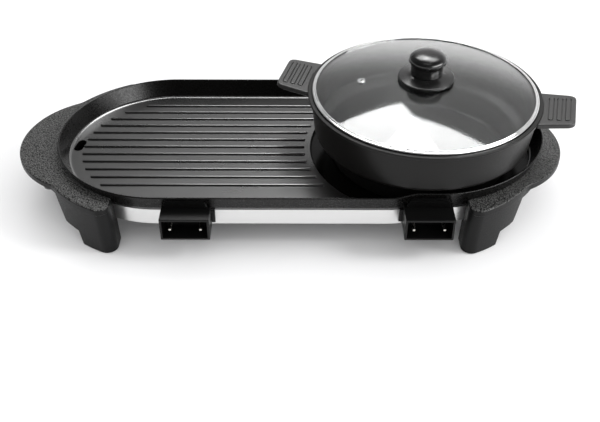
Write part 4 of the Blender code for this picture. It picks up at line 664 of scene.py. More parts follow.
rib_holder = bpy.data.objects.new("grill_ribs", bpy.data.meshes.new("grill_ribs"))
bpy.context.scene.collection.objects.link(rib_holder)
ribs = made_by(rib_tree(), rib_holder, {
    "Ribs": RIB_COUNT, "Pitch": RIB_PITCH,
    "First rib": MIDDLE_Y + RIB_OFFSET - (RIB_COUNT - 1) / 2 * RIB_PITCH, "Middle line": MIDDLE_Y,
    "Grill centre": GRILL_END_X, "Grill arc": RIB_GRILL_ARC, "Pot centre": POT_X, "Pot arc": RIB_POT_ARC,
    "Floor height": FLOOR_Z, "Width": RIB_WIDTH, "Height": RIB_HEIGHT,
    "Finish": grill_coat,
})
ribs = worked(outwards(ribs), drain_tool, "DIFFERENCE")
fitted("grill_ribs", ribs, grill_coat, "base", angle=math.radians(60), flats=False)


# Steel skirt: a band of satin stainless sheet bent round the pan below its shoulder,
# brushed along its length. Holes behind the sockets pass the pins, probes and screws.
SKIRT_SHEET = 0.0008
SKIRT_LOW, SKIRT_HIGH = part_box("steel_skirt")
SOCKET_NAMES = ("left", "right")

skirt_steel, tree, shader = new_finish("skirt_steel", (0.74, 0.74, 0.735), 0.30, metal=1.0)
brushing = cloudy(tree, 90.0, 4.0, (0.6, 0.6, 26.0))
tree.links.new(between_colours(tree, brushing, (0.71, 0.71, 0.705), (0.77, 0.77, 0.765)), shader.inputs["Base Color"])
tree.links.new(between(tree, brushing, 0.28, 0.34), shader.inputs["Roughness"])
raised(tree, shader, brushing, 0.00002, 0.15)

edge = 0.00025
skirt = skinned("skirt_band", [at_height(pan_edge(inset), z) for inset, z in (
    (SHOULDER_INSET + edge, SKIRT_LOW.z), (SHOULDER_INSET, SKIRT_LOW.z + edge),
    (SHOULDER_INSET, SKIRT_HIGH.z - edge), (SHOULDER_INSET + edge, SKIRT_HIGH.z),
    (SHOULDER_INSET + SKIRT_SHEET - edge, SKIRT_HIGH.z), (SHOULDER_INSET + SKIRT_SHEET, SKIRT_HIGH.z - edge),
    (SHOULDER_INSET + SKIRT_SHEET, SKIRT_LOW.z + edge), (SHOULDER_INSET + SKIRT_SHEET - edge, SKIRT_LOW.z),
)], ring=True)
passing = [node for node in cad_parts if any(word in node for word in (
    "pin_insulator", "probe_sleeve", "socket_screw"))]
skirt_holes = []
for node in passing:
    low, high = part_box(node)
    middle = (low + high) / 2
    radius = (high.x - low.x) / 2 + 0.0003
    shank = 0.0018 if "screw" in node else radius
    skirt_holes.append(turned("hole", [(0, -0.012), (shank, -0.012), (shank, 0.012), (0, 0.012)], 32,
                              (middle.x, -edge_y(middle.x, SHOULDER_INSET) + MIDDLE_Y, middle.z),
                              turn=Matrix.Rotation(math.pi / 2, 3, "X")))
for hole in skirt_holes:
    skirt = worked(skirt, hole, "DIFFERENCE")
fitted("skirt_band", skirt, skirt_steel, "base", ["steel_skirt"])


# Bottom cover, grease tray and its rails: plain dark steel sheet, pressed and screwed up
# under the pan. Heaters: bent steel tubes, browned by heat, clipped under the floor.
def finish_node(node, finish):
    """Gives a CAD node that stays its finish."""
    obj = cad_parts[node]
    obj.data.materials.clear()
    obj.data.materials.append(finish)


dark_steel, tree, shader = new_finish("dark_steel", (0.16, 0.16, 0.16), 0.42, metal=0.9)
rolled = cloudy(tree, 60.0, 4.0, (1, 12, 1))
tree.links.new(between_colours(tree, rolled, (0.11, 0.11, 0.112), (0.20, 0.20, 0.20)), shader.inputs["Base Color"])
tree.links.new(between(tree, rolled, 0.34, 0.52), shader.inputs["Roughness"])
raised(tree, shader, rolled, 0.00004, 0.4)

heater_steel, tree, shader = new_finish("heater_steel", (0.24, 0.21, 0.17), 0.42, metal=0.9)
scorched = cloudy(tree, 45.0, 3.0)
tree.links.new(between_colours(tree, scorched, (0.16, 0.13, 0.10), (0.34, 0.33, 0.31)), shader.inputs["Base Color"])
tree.links.new(between(tree, scorched, 0.34, 0.55), shader.inputs["Roughness"])
raised(tree, shader, cloudy(tree, 700.0), 0.00004, 0.5)

for node in ("bottom_cover", "grease_tray", "front_tray_rail", "back_tray_rail", "left_probe_sleeve",
             "right_probe_sleeve"):
    finish_node(node, dark_steel)
for node in ("grill_heater", "pot_heater"):
    finish_node(node, heater_steel)


# End handles: black moulded plastic with a pebbled grain, each one piece from the round
# grip down to its two legs, and screwed to the skirt through the wall under the grip.
BASE_X = (POT_END_X + POT_END_REACH + GRILL_END_X - PAN_HALF_WIDTH) / 2 - 0.01305
BAND_REACH = BASE_X - GRILL_END_X
BAND_RADIUS = 0.15647
BULGE_REACH = BAND_REACH + 0.0796
BULGE_RADIUS = 0.10357
WAIST_FILLET = 0.030
TIP_REACH = BAND_REACH + 0.0512
TIP_FILLET = 0.012
WING_TOP = 0.066
WING_BOTTOM = 0.058
WING_EDGE = 0.0022
RECESS_DEPTH = 0.0045
RECESS_RIM = 0.005
RECESS_HALF_WIDTH = 0.066
APRON_THICKNESS = 0.011
APRON_BOTTOM = 0.040
APRON_SWEEP = math.radians(44)
LEG_SETBACK = 0.0005
LEG_DRAFT = 0.0025
LEG_INNER_RADIUS = 0.122
LEG_TIP_LEAN = 0.0026
LEG_CORNER = 0.004
LEG_ANGLES = ((0, 52.5), (0.0205, 51.0), (0.0220, 42.0), (0.0580, 37.0))   # height and where the leg's edge stands
FOOT_LIFT = 0.0012
GAP = 0.0003


def circles_meet(first, radius_1, second, radius_2):
    apart = second - first
    along = (apart ** 2 + radius_1 ** 2 - radius_2 ** 2) / (2 * apart)
    return first + along, math.sqrt(radius_1 ** 2 - along ** 2)


def wing_outline(inset):
    """The handle from above as (reach, y), from its front tip round the grip to its back tip."""
    band, bulge = BAND_RADIUS - inset, BULGE_RADIUS - inset
    waist, tip = WAIST_FILLET + inset, TIP_FILLET - inset
    waist_at = circles_meet(BAND_REACH, band + waist, BULGE_REACH, bulge + waist)
    tip_reach = TIP_REACH + TIP_FILLET
    tip_y = math.sqrt((band - tip) ** 2 - (tip_reach - BAND_REACH) ** 2)
    band_start = math.atan2(tip_y, tip_reach - BAND_REACH)
    band_end = math.atan2(waist_at[1], waist_at[0] - BAND_REACH)
    bulge_start = math.atan2(waist_at[1], waist_at[0] - BULGE_REACH)
    half = arc(tip_reach, tip_y, tip, math.pi, band_start, 14)
    half += arc(BAND_REACH, 0, band, band_start, band_end, 24)[1:]
    half += arc(*waist_at, waist, band_end + math.pi, bulge_start + math.pi, 14)[1:]
    half += arc(BULGE_REACH, 0, bulge, bulge_start, 0, 36)[1:]
    return [(reach, -y) for reach, y in half] + half[-2::-1]


def leg_angle(z):
    for (low, first), (high, second) in zip(LEG_ANGLES, LEG_ANGLES[1:]):
        if z <= high:
            return math.radians(first + (second - first) * (z - low) / (high - low))
    return math.radians(LEG_ANGLES[-1][1])


def leg_outline(z, side):
    share = (WING_TOP - z) / WING_TOP
    outer = BAND_RADIUS - LEG_SETBACK - LEG_DRAFT * share
    tip_reach = TIP_REACH - LEG_TIP_LEAN * share
    start = leg_angle(z)
    corner = math.asin(LEG_CORNER / (outer - LEG_CORNER))
    corner_at = arc(BAND_REACH, 0, outer - LEG_CORNER, start + corner, start + corner, 1)[0]
    fillet_reach = tip_reach + TIP_FILLET
    fillet_y = math.sqrt((outer - TIP_FILLET) ** 2 - (fillet_reach - BAND_REACH) ** 2)
    fillet_angle = math.atan2(fillet_y, fillet_reach - BAND_REACH)
    inner_end = math.acos((tip_reach - BAND_REACH) / LEG_INNER_RADIUS)
    points = arc(*corner_at, LEG_CORNER, start - math.pi / 2, start + corner, 10)
    points += arc(BAND_REACH, 0, outer, start + corner, fillet_angle, 24)[1:]
    points += arc(fillet_reach, fillet_y, TIP_FILLET, fillet_angle, math.pi, 14)[1:]
    points += arc(BAND_REACH, 0, LEG_INNER_RADIUS, inner_end, start, 24)
    return [(reach, side * y) for reach, y in points]


def out_from_base(points, direction, z):
    return [(BASE_X + direction * reach, y + MIDDLE_Y, z) for reach, y in points]


def skirt_curve(direction, out, start, end, steps):
    """Points at a distance off the skirt's round end, between two angles about its centre."""
    grill_side = direction < 0
    centre = GRILL_END_X if grill_side else POT_END_X
    reach = (PAN_HALF_WIDTH if grill_side else POT_END_REACH) - SHOULDER_INSET
    width = (PAN_HALF_WIDTH if grill_side else POT_END_HALF_WIDTH) - SHOULDER_INSET
    power = 2 if grill_side else POT_END_POWER
    points = []
    for cosine, sine in arc(0, 0, 1, start, end, steps):
        radius = out + ((cosine / reach) ** power + (abs(sine) / width) ** power) ** (-1 / power)
        points.append((centre + direction * radius * cosine, radius * sine))
    return points


def upright_prism(name, outline, low, high):
    return skinned(name, [at_height(outline, low), at_height(outline, high)])


pan_room = skinned("pan_room", [
    at_height(pan_edge(SHOULDER_INSET - GAP), SKIRT_LOW.z - GAP), at_height(pan_edge(SHOULDER_INSET - GAP), SHOULDER_Z),
    at_height(pan_edge(-GAP), RIM_HEIGHT, 1), at_height(pan_edge(-GAP), RIM_HEIGHT + 0.002, 1),
])


def end_handle(name, direction):
    edges = [(WING_EDGE * (1 - math.sin(math.pi / 2 * i / 7)), WING_EDGE * (1 - math.cos(math.pi / 2 * i / 7)))
             for i in range(8)]
    handle = skinned(name, [
        out_from_base(wing_outline(0.0006), direction, WING_BOTTOM),
        out_from_base(wing_outline(0), direction, WING_BOTTOM + 0.0006),
    ] + [out_from_base(wing_outline(drawn_in), direction, WING_TOP - down) for down, drawn_in in edges])
    outer = BULGE_RADIUS - RECESS_RIM
    sweep = math.asin(RECESS_HALF_WIDTH / outer)
    grip = [(BASE_X + direction * reach, y) for reach, y in arc(BULGE_REACH, 0, outer, -sweep, sweep, 48)]
    out = APRON_THICKNESS + RECESS_RIM
    skirt_reach = (PAN_HALF_WIDTH if direction < 0 else POT_END_REACH) - SHOULDER_INSET
    inner_sweep = math.asin(RECESS_HALF_WIDTH / (skirt_reach + out))
    recess = upright_prism("recess", grip + skirt_curve(direction, out, inner_sweep, -inner_sweep, 48),
                           WING_BOTTOM - 0.002, WING_BOTTOM + RECESS_DEPTH)
    handle = worked(handle, recess, "DIFFERENCE")
    for side in (-1, 1):
        heights = (FOOT_LIFT, 0.010, 0.0195, 0.0202, 0.0209, 0.0216, 0.0223, 0.034, 0.046, WING_BOTTOM + 0.002)
        leg = skinned("leg", [out_from_base(leg_outline(z, side), direction, z) for z in heights])
        handle = worked(handle, leg, "UNION")
    apron = upright_prism("apron", skirt_curve(direction, APRON_THICKNESS, -APRON_SWEEP, APRON_SWEEP, 48)
                          + skirt_curve(direction, -0.002, APRON_SWEEP, -APRON_SWEEP, 48),
                          APRON_BOTTOM, WING_BOTTOM + 0.002)
    handle = worked(handle, apron, "UNION")
    handle = worked(handle, pan_room, "DIFFERENCE")
    for place in ("front", "back"):
        low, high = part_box(f"{name}_{place}_foot_pad")
        radius = (high.x - low.x) / 2 + GAP
        middle = (low + high) / 2
        pad_hole = turned("pad_hole", [(0, -0.002), (radius, -0.002), (radius, high.z + GAP), (0, high.z + GAP)], 48,
                          (middle.x, middle.y, 0))
        handle = worked(handle, pad_hole, "DIFFERENCE")
    return handle


def by_height(tree, low, high, below=0.0, above=1.0):
    """A number that changes over a band of heights on the piece."""
    place, parts = tree.nodes.new("ShaderNodeTexCoord"), tree.nodes.new("ShaderNodeSeparateXYZ")
    tree.links.new(place.outputs["Object"], parts.inputs["Vector"])
    return between(tree, parts.outputs["Z"], below, above, low, high)


grained_plastic, tree, shader = new_finish("grained_plastic", (0.0045, 0.0045, 0.0046), 0.38, shine=0.19)
pebbles = tree.nodes.new("ShaderNodeTexVoronoi")
pebbles.feature = "SMOOTH_F1"
pebbles.inputs["Scale"].default_value = 660.0
pebble_place = tree.nodes.new("ShaderNodeTexCoord")
tree.links.new(pebble_place.outputs["Object"], pebbles.inputs["Vector"])
# Painted sheen: the pebble crests on the top face are painted light grey over near black. This is a painted highlight
# on the real grain.
painted_pebble_sheen = between_colours(tree, between(tree, pebbles.outputs["Distance"], 1.0, 0.0, 0.15, 0.6),
                          (0.001, 0.001, 0.001), (0.118, 0.118, 0.116))
plain = between_colours(tree, cloudy(tree, 500.0), (0.003, 0.003, 0.0031), (0.006, 0.006, 0.0061))
# Only the top face carries the painted pebble sheen; the sides keep the plain dark tone.
painted_sheen_on_top = by_height(tree, WING_TOP - 0.0016, WING_TOP - 0.0003)
shade = tree.nodes.new("ShaderNodeMix")
shade.data_type = "RGBA"
for name, socket in (("A", plain), ("B", painted_pebble_sheen), ("Factor", painted_sheen_on_top)):
    tree.links.new(socket, shade.inputs[name])
tree.links.new(shade.outputs["Result"], shader.inputs["Base Color"])
tree.links.new(between(tree, pebbles.outputs["Distance"], 0.30, 0.44, 0.1, 0.6), shader.inputs["Roughness"])
pebble_bump = raised(tree, shader, pebbles.outputs["Distance"], 0.0010, 0.9)
pebble_bump.node.invert = True
tree.links.new(by_height(tree, WING_TOP - 0.0016, WING_TOP - 0.0003, 0.12, 0.9), pebble_bump.node.inputs["Strength"])
raised(tree, shader, cloudy(tree, 1500.0), 0.00004, 0.4, under=pebble_bump)

for side_name, side_direction in (("left", -1), ("right", 1)):
    fitted(side_name + "_handle_and_legs", end_handle(side_name, side_direction), grained_plastic,
           "base", [side_name + "_end_handle"])

foot_rubber, tree, shader = new_finish("foot_rubber", (0.018, 0.018, 0.018), 0.8, shine=0.3)
dusty = cloudy(tree, 300.0, 3.0)
tree.links.new(between_colours(tree, dusty, (0.014, 0.014, 0.014), (0.026, 0.026, 0.025)), shader.inputs["Base Color"])
raised(tree, shader, dusty, 0.0001, 0.4)
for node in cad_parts:
    if node.endswith("foot_pad"):
        finish_node(node, foot_rubber)


# Lead sockets: black moulded boxes with an upright shield against the pan's wall, screwed
# to the skirt from inside. Each holds two plated pins in ceramic bushes.
socket_plastic, tree, shader = new_finish("socket_plastic", (0.003, 0.003, 0.003), 0.32, shine=0.25)
satin = cloudy(tree, 800.0, 2.0)
tree.links.new(between_colours(tree, satin, (0.002, 0.002, 0.002), (0.004, 0.004, 0.004)), shader.inputs["Base Color"])
tree.links.new(between(tree, satin, 0.30, 0.40), shader.inputs["Roughness"])
raised(tree, shader, satin, 0.00004, 0.4)

pin_plating, tree, shader = new_finish("pin_plating", (0.56, 0.54, 0.50), 0.24, metal=1.0)
wiped = cloudy(tree, 400.0, 3.0)
tree.links.new(between_colours(tree, wiped, (0.48, 0.47, 0.43), (0.62, 0.60, 0.56)), shader.inputs["Base Color"])
tree.links.new(between(tree, wiped, 0.18, 0.32), shader.inputs["Roughness"])

bush_ceramic, tree, shader = new_finish("bush_ceramic", (0.78, 0.74, 0.66), 0.55)
chalky = cloudy(tree, 500.0, 3.0)
tree.links.new(between_colours(tree, chalky, (0.70, 0.66, 0.58), (0.84, 0.80, 0.73)), shader.inputs["Base Color"])
raised(tree, shader, chalky, 0.00005, 0.4)

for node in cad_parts:
    if node.endswith("_socket"):
        finish_node(node, socket_plastic)
    elif "pin_insulator" in node:
        finish_node(node, bush_ceramic)

pins = []
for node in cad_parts:
    if "terminal_pin" in node:
        low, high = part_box(node)
        radius, length = (high.x - low.x) / 2, high.y - low.y
        pins.append(turned("pin", [
            (0, length), (radius * 0.35, length), (radius * 0.75, length - 0.0003), (radius * 0.95, length - 0.0009),
            (radius, length - 0.0016), (radius, 0.0003), (radius - 0.0003, 0), (0, 0),
        ], 40, ((low.x + high.x) / 2, high.y, (low.z + high.z) / 2), turn=Matrix.Rotation(math.pi / 2, 3, "X")))
fitted("terminal_pins", gathered("terminal_pins", pins), pin_plating, "base",
       [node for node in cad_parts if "terminal_pin" in node])


# Screws: plated steel with a low round head and a cross recess, the same kind throughout,
# driven up into the cover's bosses, the handles, the sockets and the pot's handles.
SCREW_RADIUS = 0.0015
SCREW_HEAD_RADIUS = 0.0024
SCREW_HEAD = 0.0016

screw_steel, tree, shader = new_finish("screw_steel", (0.62, 0.62, 0.62), 0.30, metal=1.0)
plated = cloudy(tree, 900.0, 3.0)
tree.links.new(between_colours(tree, plated, (0.50, 0.50, 0.51), (0.70, 0.70, 0.69)), shader.inputs["Base Color"])
tree.links.new(between(tree, plated, 0.24, 0.42), shader.inputs["Roughness"])
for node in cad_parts:
    if "screw" in node:
        finish_node(node, screw_steel)


# Pot: aluminium pressed with a stepped foot, a turned flange with a seat for the lid, and
# a satin non-stick coating inside and out. It stands on the sunk floor.
FLANGE_Z = 0.138
FLANGE_RADIUS = 0.1408
SEAT_RADIUS = 0.1362
SEAT_Z = 0.1358
POT_TOP_RADIUS = 0.137
POT_LOW_RADIUS = 0.132
POT_INNER_RADIUS = 0.1322
FOOT_TOP_RADIUS = 0.1188
FOOT_RADIUS = 0.110
POT_WALL = 0.003
POT_FLOOR = WELL_Z + GAP
POT_STEPS = 192
POT_AT = (POT_X, MIDDLE_Y, 0)

pot_coat, tree, shader = new_finish("pot_coat", (0.005, 0.0048, 0.0046), 0.32, shine=0.22)
fine_grain = cloudy(tree, 1100.0, 3.0)
tree.links.new(between_colours(tree, fine_grain, (0.0035, 0.0033, 0.0031), (0.0075, 0.0071, 0.0068)),
               shader.inputs["Base Color"])
tree.links.new(between(tree, cloudy(tree, 500.0), 0.28, 0.40), shader.inputs["Roughness"])
raised(tree, shader, fine_grain, 0.00006, 0.45)

pot_profile = softened([
    (0, POT_FLOOR + 0.004, 0),
    (FOOT_RADIUS - POT_WALL, POT_FLOOR + 0.004, 0.005),
    (FOOT_TOP_RADIUS - POT_WALL, RIM_HEIGHT + 0.0035 + POT_WALL, 0.004),
    (POT_LOW_RADIUS - POT_WALL, RIM_HEIGHT + 0.0085 + POT_WALL, 0.004),
    (POT_INNER_RADIUS, SEAT_Z, 0.0006),
    (SEAT_RADIUS, SEAT_Z, 0.0003),
    (SEAT_RADIUS, FLANGE_Z, 0.0006),
    (FLANGE_RADIUS, FLANGE_Z, 0.0010),
    (FLANGE_RADIUS, FLANGE_Z - 0.0035, 0.0010),
    (POT_TOP_RADIUS, FLANGE_Z - 0.0035, 0.0012),
    (POT_LOW_RADIUS, RIM_HEIGHT + 0.0085, 0.005),
    (FOOT_TOP_RADIUS, RIM_HEIGHT + 0.0035, 0.005),
    (FOOT_RADIUS, POT_FLOOR, 0.004),
    (0, POT_FLOOR, 0),
], 8, closed=False)
pot = turned("pot_shell", pot_profile, POT_STEPS, POT_AT)
fitted("pot_shell", pot, pot_coat, "pot", ["pot_body"])


# Pot handles: dark grey moulded grips with three low ribs each, pushed over a flat tang of
# the pot and held by two screws from below. They rise a little outwards.
HANDLE_TURNS = {"left": math.radians(165), "right": math.radians(-15)}
HANDLE_RISE = math.radians(6.5)
HANDLE_BOTTOM = FLANGE_Z - 0.001 - 0.006
HANDLE_THICKNESS = 0.006
HANDLE_OUT = 0.03715
HANDLE_HALF_WIDTH = 0.0325
HANDLE_ROOT_HALF_WIDTH = 0.0368
HANDLE_CORNER = 0.009
HANDLE_EDGE = 0.0014
GRIP_RIB_OUT = 0.0187
GRIP_RIB_PITCH = 0.0095
GRIP_RIB_LENGTH = 0.050
GRIP_RIB_WIDTH = 0.0050
GRIP_RIB_HEIGHT = 0.0009
TANG = (0.0192, 0.017, 0.0028)   # out from the flange's edge, half width, thickness


def handle_place(name):
    """Turns and moves a pot handle from its own frame, in which it lies along X from the flange's edge."""
    angle = HANDLE_TURNS[name]
    at = Vector((POT_X + FLANGE_RADIUS * math.cos(angle), MIDDLE_Y + FLANGE_RADIUS * math.sin(angle), HANDLE_BOTTOM))
    return Matrix.Translation(at) @ Matrix.Rotation(angle, 4, "Z") @ Matrix.Rotation(-HANDLE_RISE, 4, "Y")


def handle_outline(inset):
    half, reach, root = HANDLE_HALF_WIDTH - inset, HANDLE_OUT - inset, HANDLE_ROOT_HALF_WIDTH - inset
    start = math.sqrt(FLANGE_RADIUS ** 2 - root ** 2) - FLANGE_RADIUS - 0.002
    return softened([(start, -root, 0), (reach, -half, HANDLE_CORNER), (reach, half, HANDLE_CORNER),
                     (start, root, 0)], 12)


def flat_loops(levels, outline):
    return [[(x, y, z) for x, y in outline(inset)] for inset, z in levels]


handle_plastic, tree, shader = new_finish("handle_plastic", (0.014, 0.0136, 0.0132), 0.34, shine=0.55)
moulded = cloudy(tree, 1200.0, 3.0)
tree.links.new(between_colours(tree, moulded, (0.010, 0.0097, 0.0094), (0.018, 0.0175, 0.017)), shader.inputs["Base Color"])
tree.links.new(between(tree, moulded, 0.30, 0.38), shader.inputs["Roughness"])
raised(tree, shader, moulded, 0.00007, 0.5)

flange_room = turned("flange_room", [(0, 0.12), (FLANGE_RADIUS + GAP, 0.12), (FLANGE_RADIUS + GAP, 0.15), (0, 0.15)],
                     POT_STEPS, POT_AT)
for name in HANDLE_TURNS:
    place = handle_place(name)
    top = HANDLE_THICKNESS
    levels = [(0.0008, 0), (0, 0.0008)]
    levels += [(HANDLE_EDGE * (1 - math.cos(math.pi / 2 * i / 6)), top - HANDLE_EDGE * (1 - math.sin(math.pi / 2 * i / 6)))
               for i in range(7)]
    grip = skinned("grip", flat_loops(levels, handle_outline))
    for i in (-1, 0, 1):
        rib = skinned("rib", [[(x, y, z) for x, y in obround(GRIP_RIB_OUT + i * GRIP_RIB_PITCH, 0,
                                                              GRIP_RIB_LENGTH - 2 * inset, GRIP_RIB_WIDTH - 2 * inset,
                                                              math.pi / 2)]
                              for inset, z in ((0, top - 0.002), (0, top + 0.0003), (0.0003, top + 0.0007),
                                               (0.0009, top + GRIP_RIB_HEIGHT))])
        moat = skinned("moat", [[(x, y, z) for x, y in obround(GRIP_RIB_OUT + i * GRIP_RIB_PITCH, 0,
                                                               GRIP_RIB_LENGTH + 0.0020, GRIP_RIB_WIDTH + 0.0020,
                                                               math.pi / 2)]
                               for z in (top - 0.0013, top + 0.002)])
        grip = worked(grip, moat, "DIFFERENCE")
        grip = worked(grip, rib, "UNION")
    reach, half, thickness = TANG
    pocket = skinned("pocket", [[(x, y, z) for x, y in ((-0.03, -half - GAP), (reach + GAP, -half - GAP),
                                                         (reach + GAP, half + GAP), (-0.03, half + GAP))]
                                for z in (-0.002, thickness + GAP)])
    grip = worked(grip, pocket, "DIFFERENCE")
    grip.transform(place)
    grip = worked(grip, flange_room, "DIFFERENCE")
    fitted(name + "_pot_grip", grip, handle_plastic, "pot", [name + "_pot_handle"])
    root = POT_TOP_RADIUS - POT_WALL - FLANGE_RADIUS
    tang = skinned("tang", flat_loops([(0.0002, 0), (0, 0.0002), (0, thickness - 0.0002), (0.0002, thickness)],
                                      lambda inset: [(root, inset - half), (reach - inset, inset - half),
                                                     (reach - inset, half - inset), (root, half - inset)]))
    tang.transform(place)
    fitted(name + "_tang", tang, pot_coat, "pot")


# Lid: a shallow dome of clear tempered glass, its edge wrapped in a polished steel rim
# that drops into the pot's seat.
GLASS_THICKNESS = 0.003
GLASS_RADIUS = 0.1343
GLASS_EDGE_Z = SEAT_Z + 0.0043
GLASS_TOP = GLASS_EDGE_Z + 0.0162
DOME_RADIUS = (GLASS_RADIUS ** 2 + 0.0162 ** 2) / (2 * 0.0162)
KNOB_HOLE = 0.0036
LID_RADIUS = 0.1355
LID_LIP = 0.0045
LID_SHEET = 0.0007
VENT_AT = (0.0769, math.radians(178))


def dome_z(radius, depth=0.0):
    return GLASS_TOP - DOME_RADIUS + math.sqrt((DOME_RADIUS - depth) ** 2 - radius ** 2)


clear_glass, tree, shader = new_finish("clear_glass", (0.97, 0.98, 0.98), 0.02, shine=0.5)
shader.inputs["Transmission Weight"].default_value = 1.0
shader.inputs["IOR"].default_value = 1.5
smears = cloudy(tree, 14.0, 3.0)
tree.links.new(between(tree, smears, 0.040, 0.065), shader.inputs["Roughness"])
lets_light = tree.nodes.new("ShaderNodeBsdfTransparent")
lets_light.inputs["Color"].default_value = (0.90, 0.91, 0.91, 1)
which_ray, shown = tree.nodes.new("ShaderNodeLightPath"), tree.nodes.new("ShaderNodeMixShader")
tree.links.new(which_ray.outputs["Is Shadow Ray"], shown.inputs["Fac"])
tree.links.new(shader.outputs["BSDF"], shown.inputs[1])
tree.links.new(lets_light.outputs["BSDF"], shown.inputs[2])
tree.links.new(shown.outputs["Shader"], tree.nodes["Material Output"].inputs["Surface"])

radii = [KNOB_HOLE + (GLASS_RADIUS - KNOB_HOLE) * i / 28 for i in range(29)]
glass_profile = [(radius, dome_z(radius)) for radius in radii]
glass_profile += [(GLASS_RADIUS + 0.0002, GLASS_EDGE_Z - 0.0008), (GLASS_RADIUS + 0.0002, GLASS_EDGE_Z - 0.0022)]
glass_profile += [(radius, dome_z(radius, GLASS_THICKNESS)) for radius in reversed(radii)]
glass = turned("glass_dome", glass_profile, POT_STEPS, POT_AT, closed=True)
vent_radius, vent_angle = VENT_AT
tilt = math.asin(vent_radius / DOME_RADIUS)
vent_axis = Vector((math.sin(tilt) * math.cos(vent_angle), math.sin(tilt) * math.sin(vent_angle), math.cos(tilt)))
vent_point = Vector((POT_X + vent_radius * math.cos(vent_angle), MIDDLE_Y + vent_radius * math.sin(vent_angle),
                     dome_z(vent_radius)))
vent_turn = vent_axis.to_track_quat("Z", "Y").to_matrix()
vent_hole = turned("vent_hole", [(0, -0.006), (0.0032, -0.006), (0.0032, 0.003), (0, 0.003)], 40, vent_point,
                   turn=vent_turn)
glass = worked(glass, vent_hole, "DIFFERENCE")
fitted("glass_dome", glass, clear_glass, "lid", ["lid_glass"])

bright_steel, tree, shader = new_finish("bright_steel", (0.86, 0.86, 0.86), 0.12, metal=1.0)
polish = cloudy(tree, 300.0, 3.0)
tree.links.new(between_colours(tree, polish, (0.82, 0.82, 0.82), (0.90, 0.90, 0.90)), shader.inputs["Base Color"])
tree.links.new(between(tree, polish, 0.08, 0.18), shader.inputs["Roughness"])
raised(tree, shader, polish, 0.00002, 0.3)

rim_low, rim_high = SEAT_Z + GAP, GLASS_EDGE_Z + GAP
lip = LID_RADIUS - LID_LIP
lip_top = dome_z(lip) + GAP
rim_profile = softened([
    (lip, lip_top + LID_SHEET, 0.0002), (lip + 0.0012, lip_top + LID_SHEET - 0.00005, 0.0003),
    (lip + 0.0018, rim_high + LID_SHEET - 0.0003, 0.0003), (LID_RADIUS - 0.0016, rim_high + LID_SHEET, 0.0006),
    (LID_RADIUS - 0.0002, rim_high + LID_SHEET - 0.0004, 0.0006), (LID_RADIUS, rim_high - 0.0008, 0.0004),
    (LID_RADIUS, rim_low, 0.0003), (lip, rim_low, 0.0002), (lip, rim_low + LID_SHEET, 0.0002),
    (LID_RADIUS - LID_SHEET, rim_low + LID_SHEET, 0), (LID_RADIUS - LID_SHEET, rim_high - 0.00015, 0), (lip, lip_top, 0.0002),
], 6)
fitted("lid_band", turned("lid_band", rim_profile, POT_STEPS, POT_AT, closed=True), bright_steel,
       "lid", ["lid_rim"])


# Vent: a small steel eyelet pressed through the glass, which lets steam out.
grommet_height = GLASS_THICKNESS + 2 * (GAP + 0.0008)
grommet_start = vent_point - vent_axis * (GLASS_THICKNESS + GAP + 0.0008)
grommet = turned("vent_eyelet", softened([
    (0.0021, grommet_height, 0.0003), (0.0048, grommet_height, 0.0006), (0.0048, grommet_height - 0.0008, 0.0002),
    (0.0029, grommet_height - 0.0008, 0), (0.0029, 0.0008, 0), (0.0048, 0.0008, 0.0002), (0.0048, 0, 0.0004),
    (0.0021, 0, 0.0003),
], 4), 64, grommet_start, closed=True, turn=vent_turn)
fitted("vent_eyelet", grommet, bright_steel, "lid", ["vent_grommet"])


# Knob and its seats: glossy black moulded plastic. The knob stands on a flared seat on the
# glass, and one long screw pulls it down from a second seat under the glass.
KNOB_STEPS = 128
SEAT_LOW = GLASS_TOP + GAP
SEAT_TOP = SEAT_LOW + 0.0068
KNOB_LOW = SEAT_TOP + GAP
KNOB_BORE = 0.0018

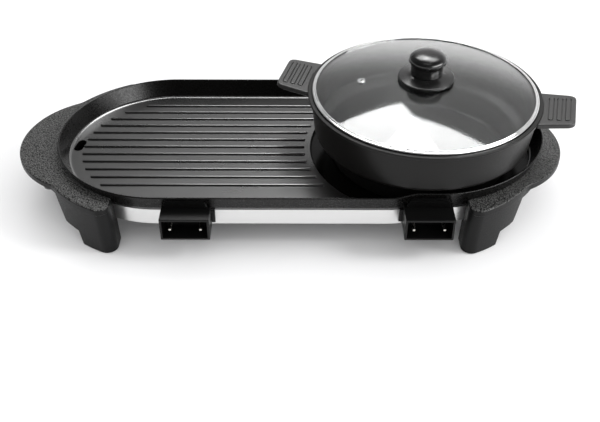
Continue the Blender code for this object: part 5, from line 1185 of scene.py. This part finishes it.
gloss_black, tree, shader = new_finish("gloss_black", (0.005, 0.005, 0.005), 0.24, shine=0.5)
handled = cloudy(tree, 60.0, 4.0)
tree.links.new(between_colours(tree, handled, (0.004, 0.004, 0.004), (0.008, 0.008, 0.008)), shader.inputs["Base Color"])
tree.links.new(between(tree, handled, 0.20, 0.28), shader.inputs["Roughness"])
raised(tree, shader, cloudy(tree, 900.0), 0.00004, 0.4)

seat = turned("knob_flare", softened([
    (KNOB_BORE, SEAT_TOP, 0), (0.0190, SEAT_TOP, 0.0006), (0.0215, SEAT_TOP - 0.0010, 0.0020), (0.0335, SEAT_LOW + 0.0036, 0.0010),
    (0.0340, SEAT_LOW + 0.0018, 0.0012), (0.0336, SEAT_LOW, 0.0004), (KNOB_BORE, SEAT_LOW, 0),
], 6), KNOB_STEPS, POT_AT, closed=True)
fitted("knob_flare", seat, gloss_black, "lid", ["knob_seat"])

crown = [(0.0225 * math.cos(angle) ** 0.85, KNOB_LOW + 0.017 + 0.0105 * math.sin(angle) ** 0.85)
         for angle in (math.pi / 2 * (1 - i / 24) for i in range(25))]
crown[0] = (0, crown[0][1])
knob_profile = crown + softened([
    (0.0225, KNOB_LOW + 0.0165, 0), (0.0218, KNOB_LOW + 0.0150, 0.0010), (0.0190, KNOB_LOW + 0.0118, 0.0018),
    (0.0188, KNOB_LOW + 0.0005, 0.0004), (0.0184, KNOB_LOW, 0.0003), (KNOB_BORE, KNOB_LOW, 0),
    (KNOB_BORE, KNOB_LOW + 0.018, 0), (0, KNOB_LOW + 0.018, 0),
], 6, closed=False)
fitted("knob_grip", turned("knob_grip", knob_profile, KNOB_STEPS, POT_AT), gloss_black, "lid", ["knob"])

lower_low, lower_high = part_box("knob_lower_seat")
lower = turned("lower_flare", softened([
    (KNOB_BORE, lower_high.z, 0), (0.0205, lower_high.z, 0.0006), (0.0200, lower_low.z, 0.0045), (KNOB_BORE, lower_low.z, 0),
], 8), KNOB_STEPS, POT_AT, closed=True)
fitted("lower_flare", lower, gloss_black, "lid", ["knob_lower_seat"])

washer_silicone, tree, shader = new_finish("washer_silicone", (0.50, 0.50, 0.50), 0.6)
milky = cloudy(tree, 300.0, 3.0)
tree.links.new(between_colours(tree, milky, (0.44, 0.44, 0.44), (0.56, 0.56, 0.55)), shader.inputs["Base Color"])
finish_node("knob_washer", washer_silicone)
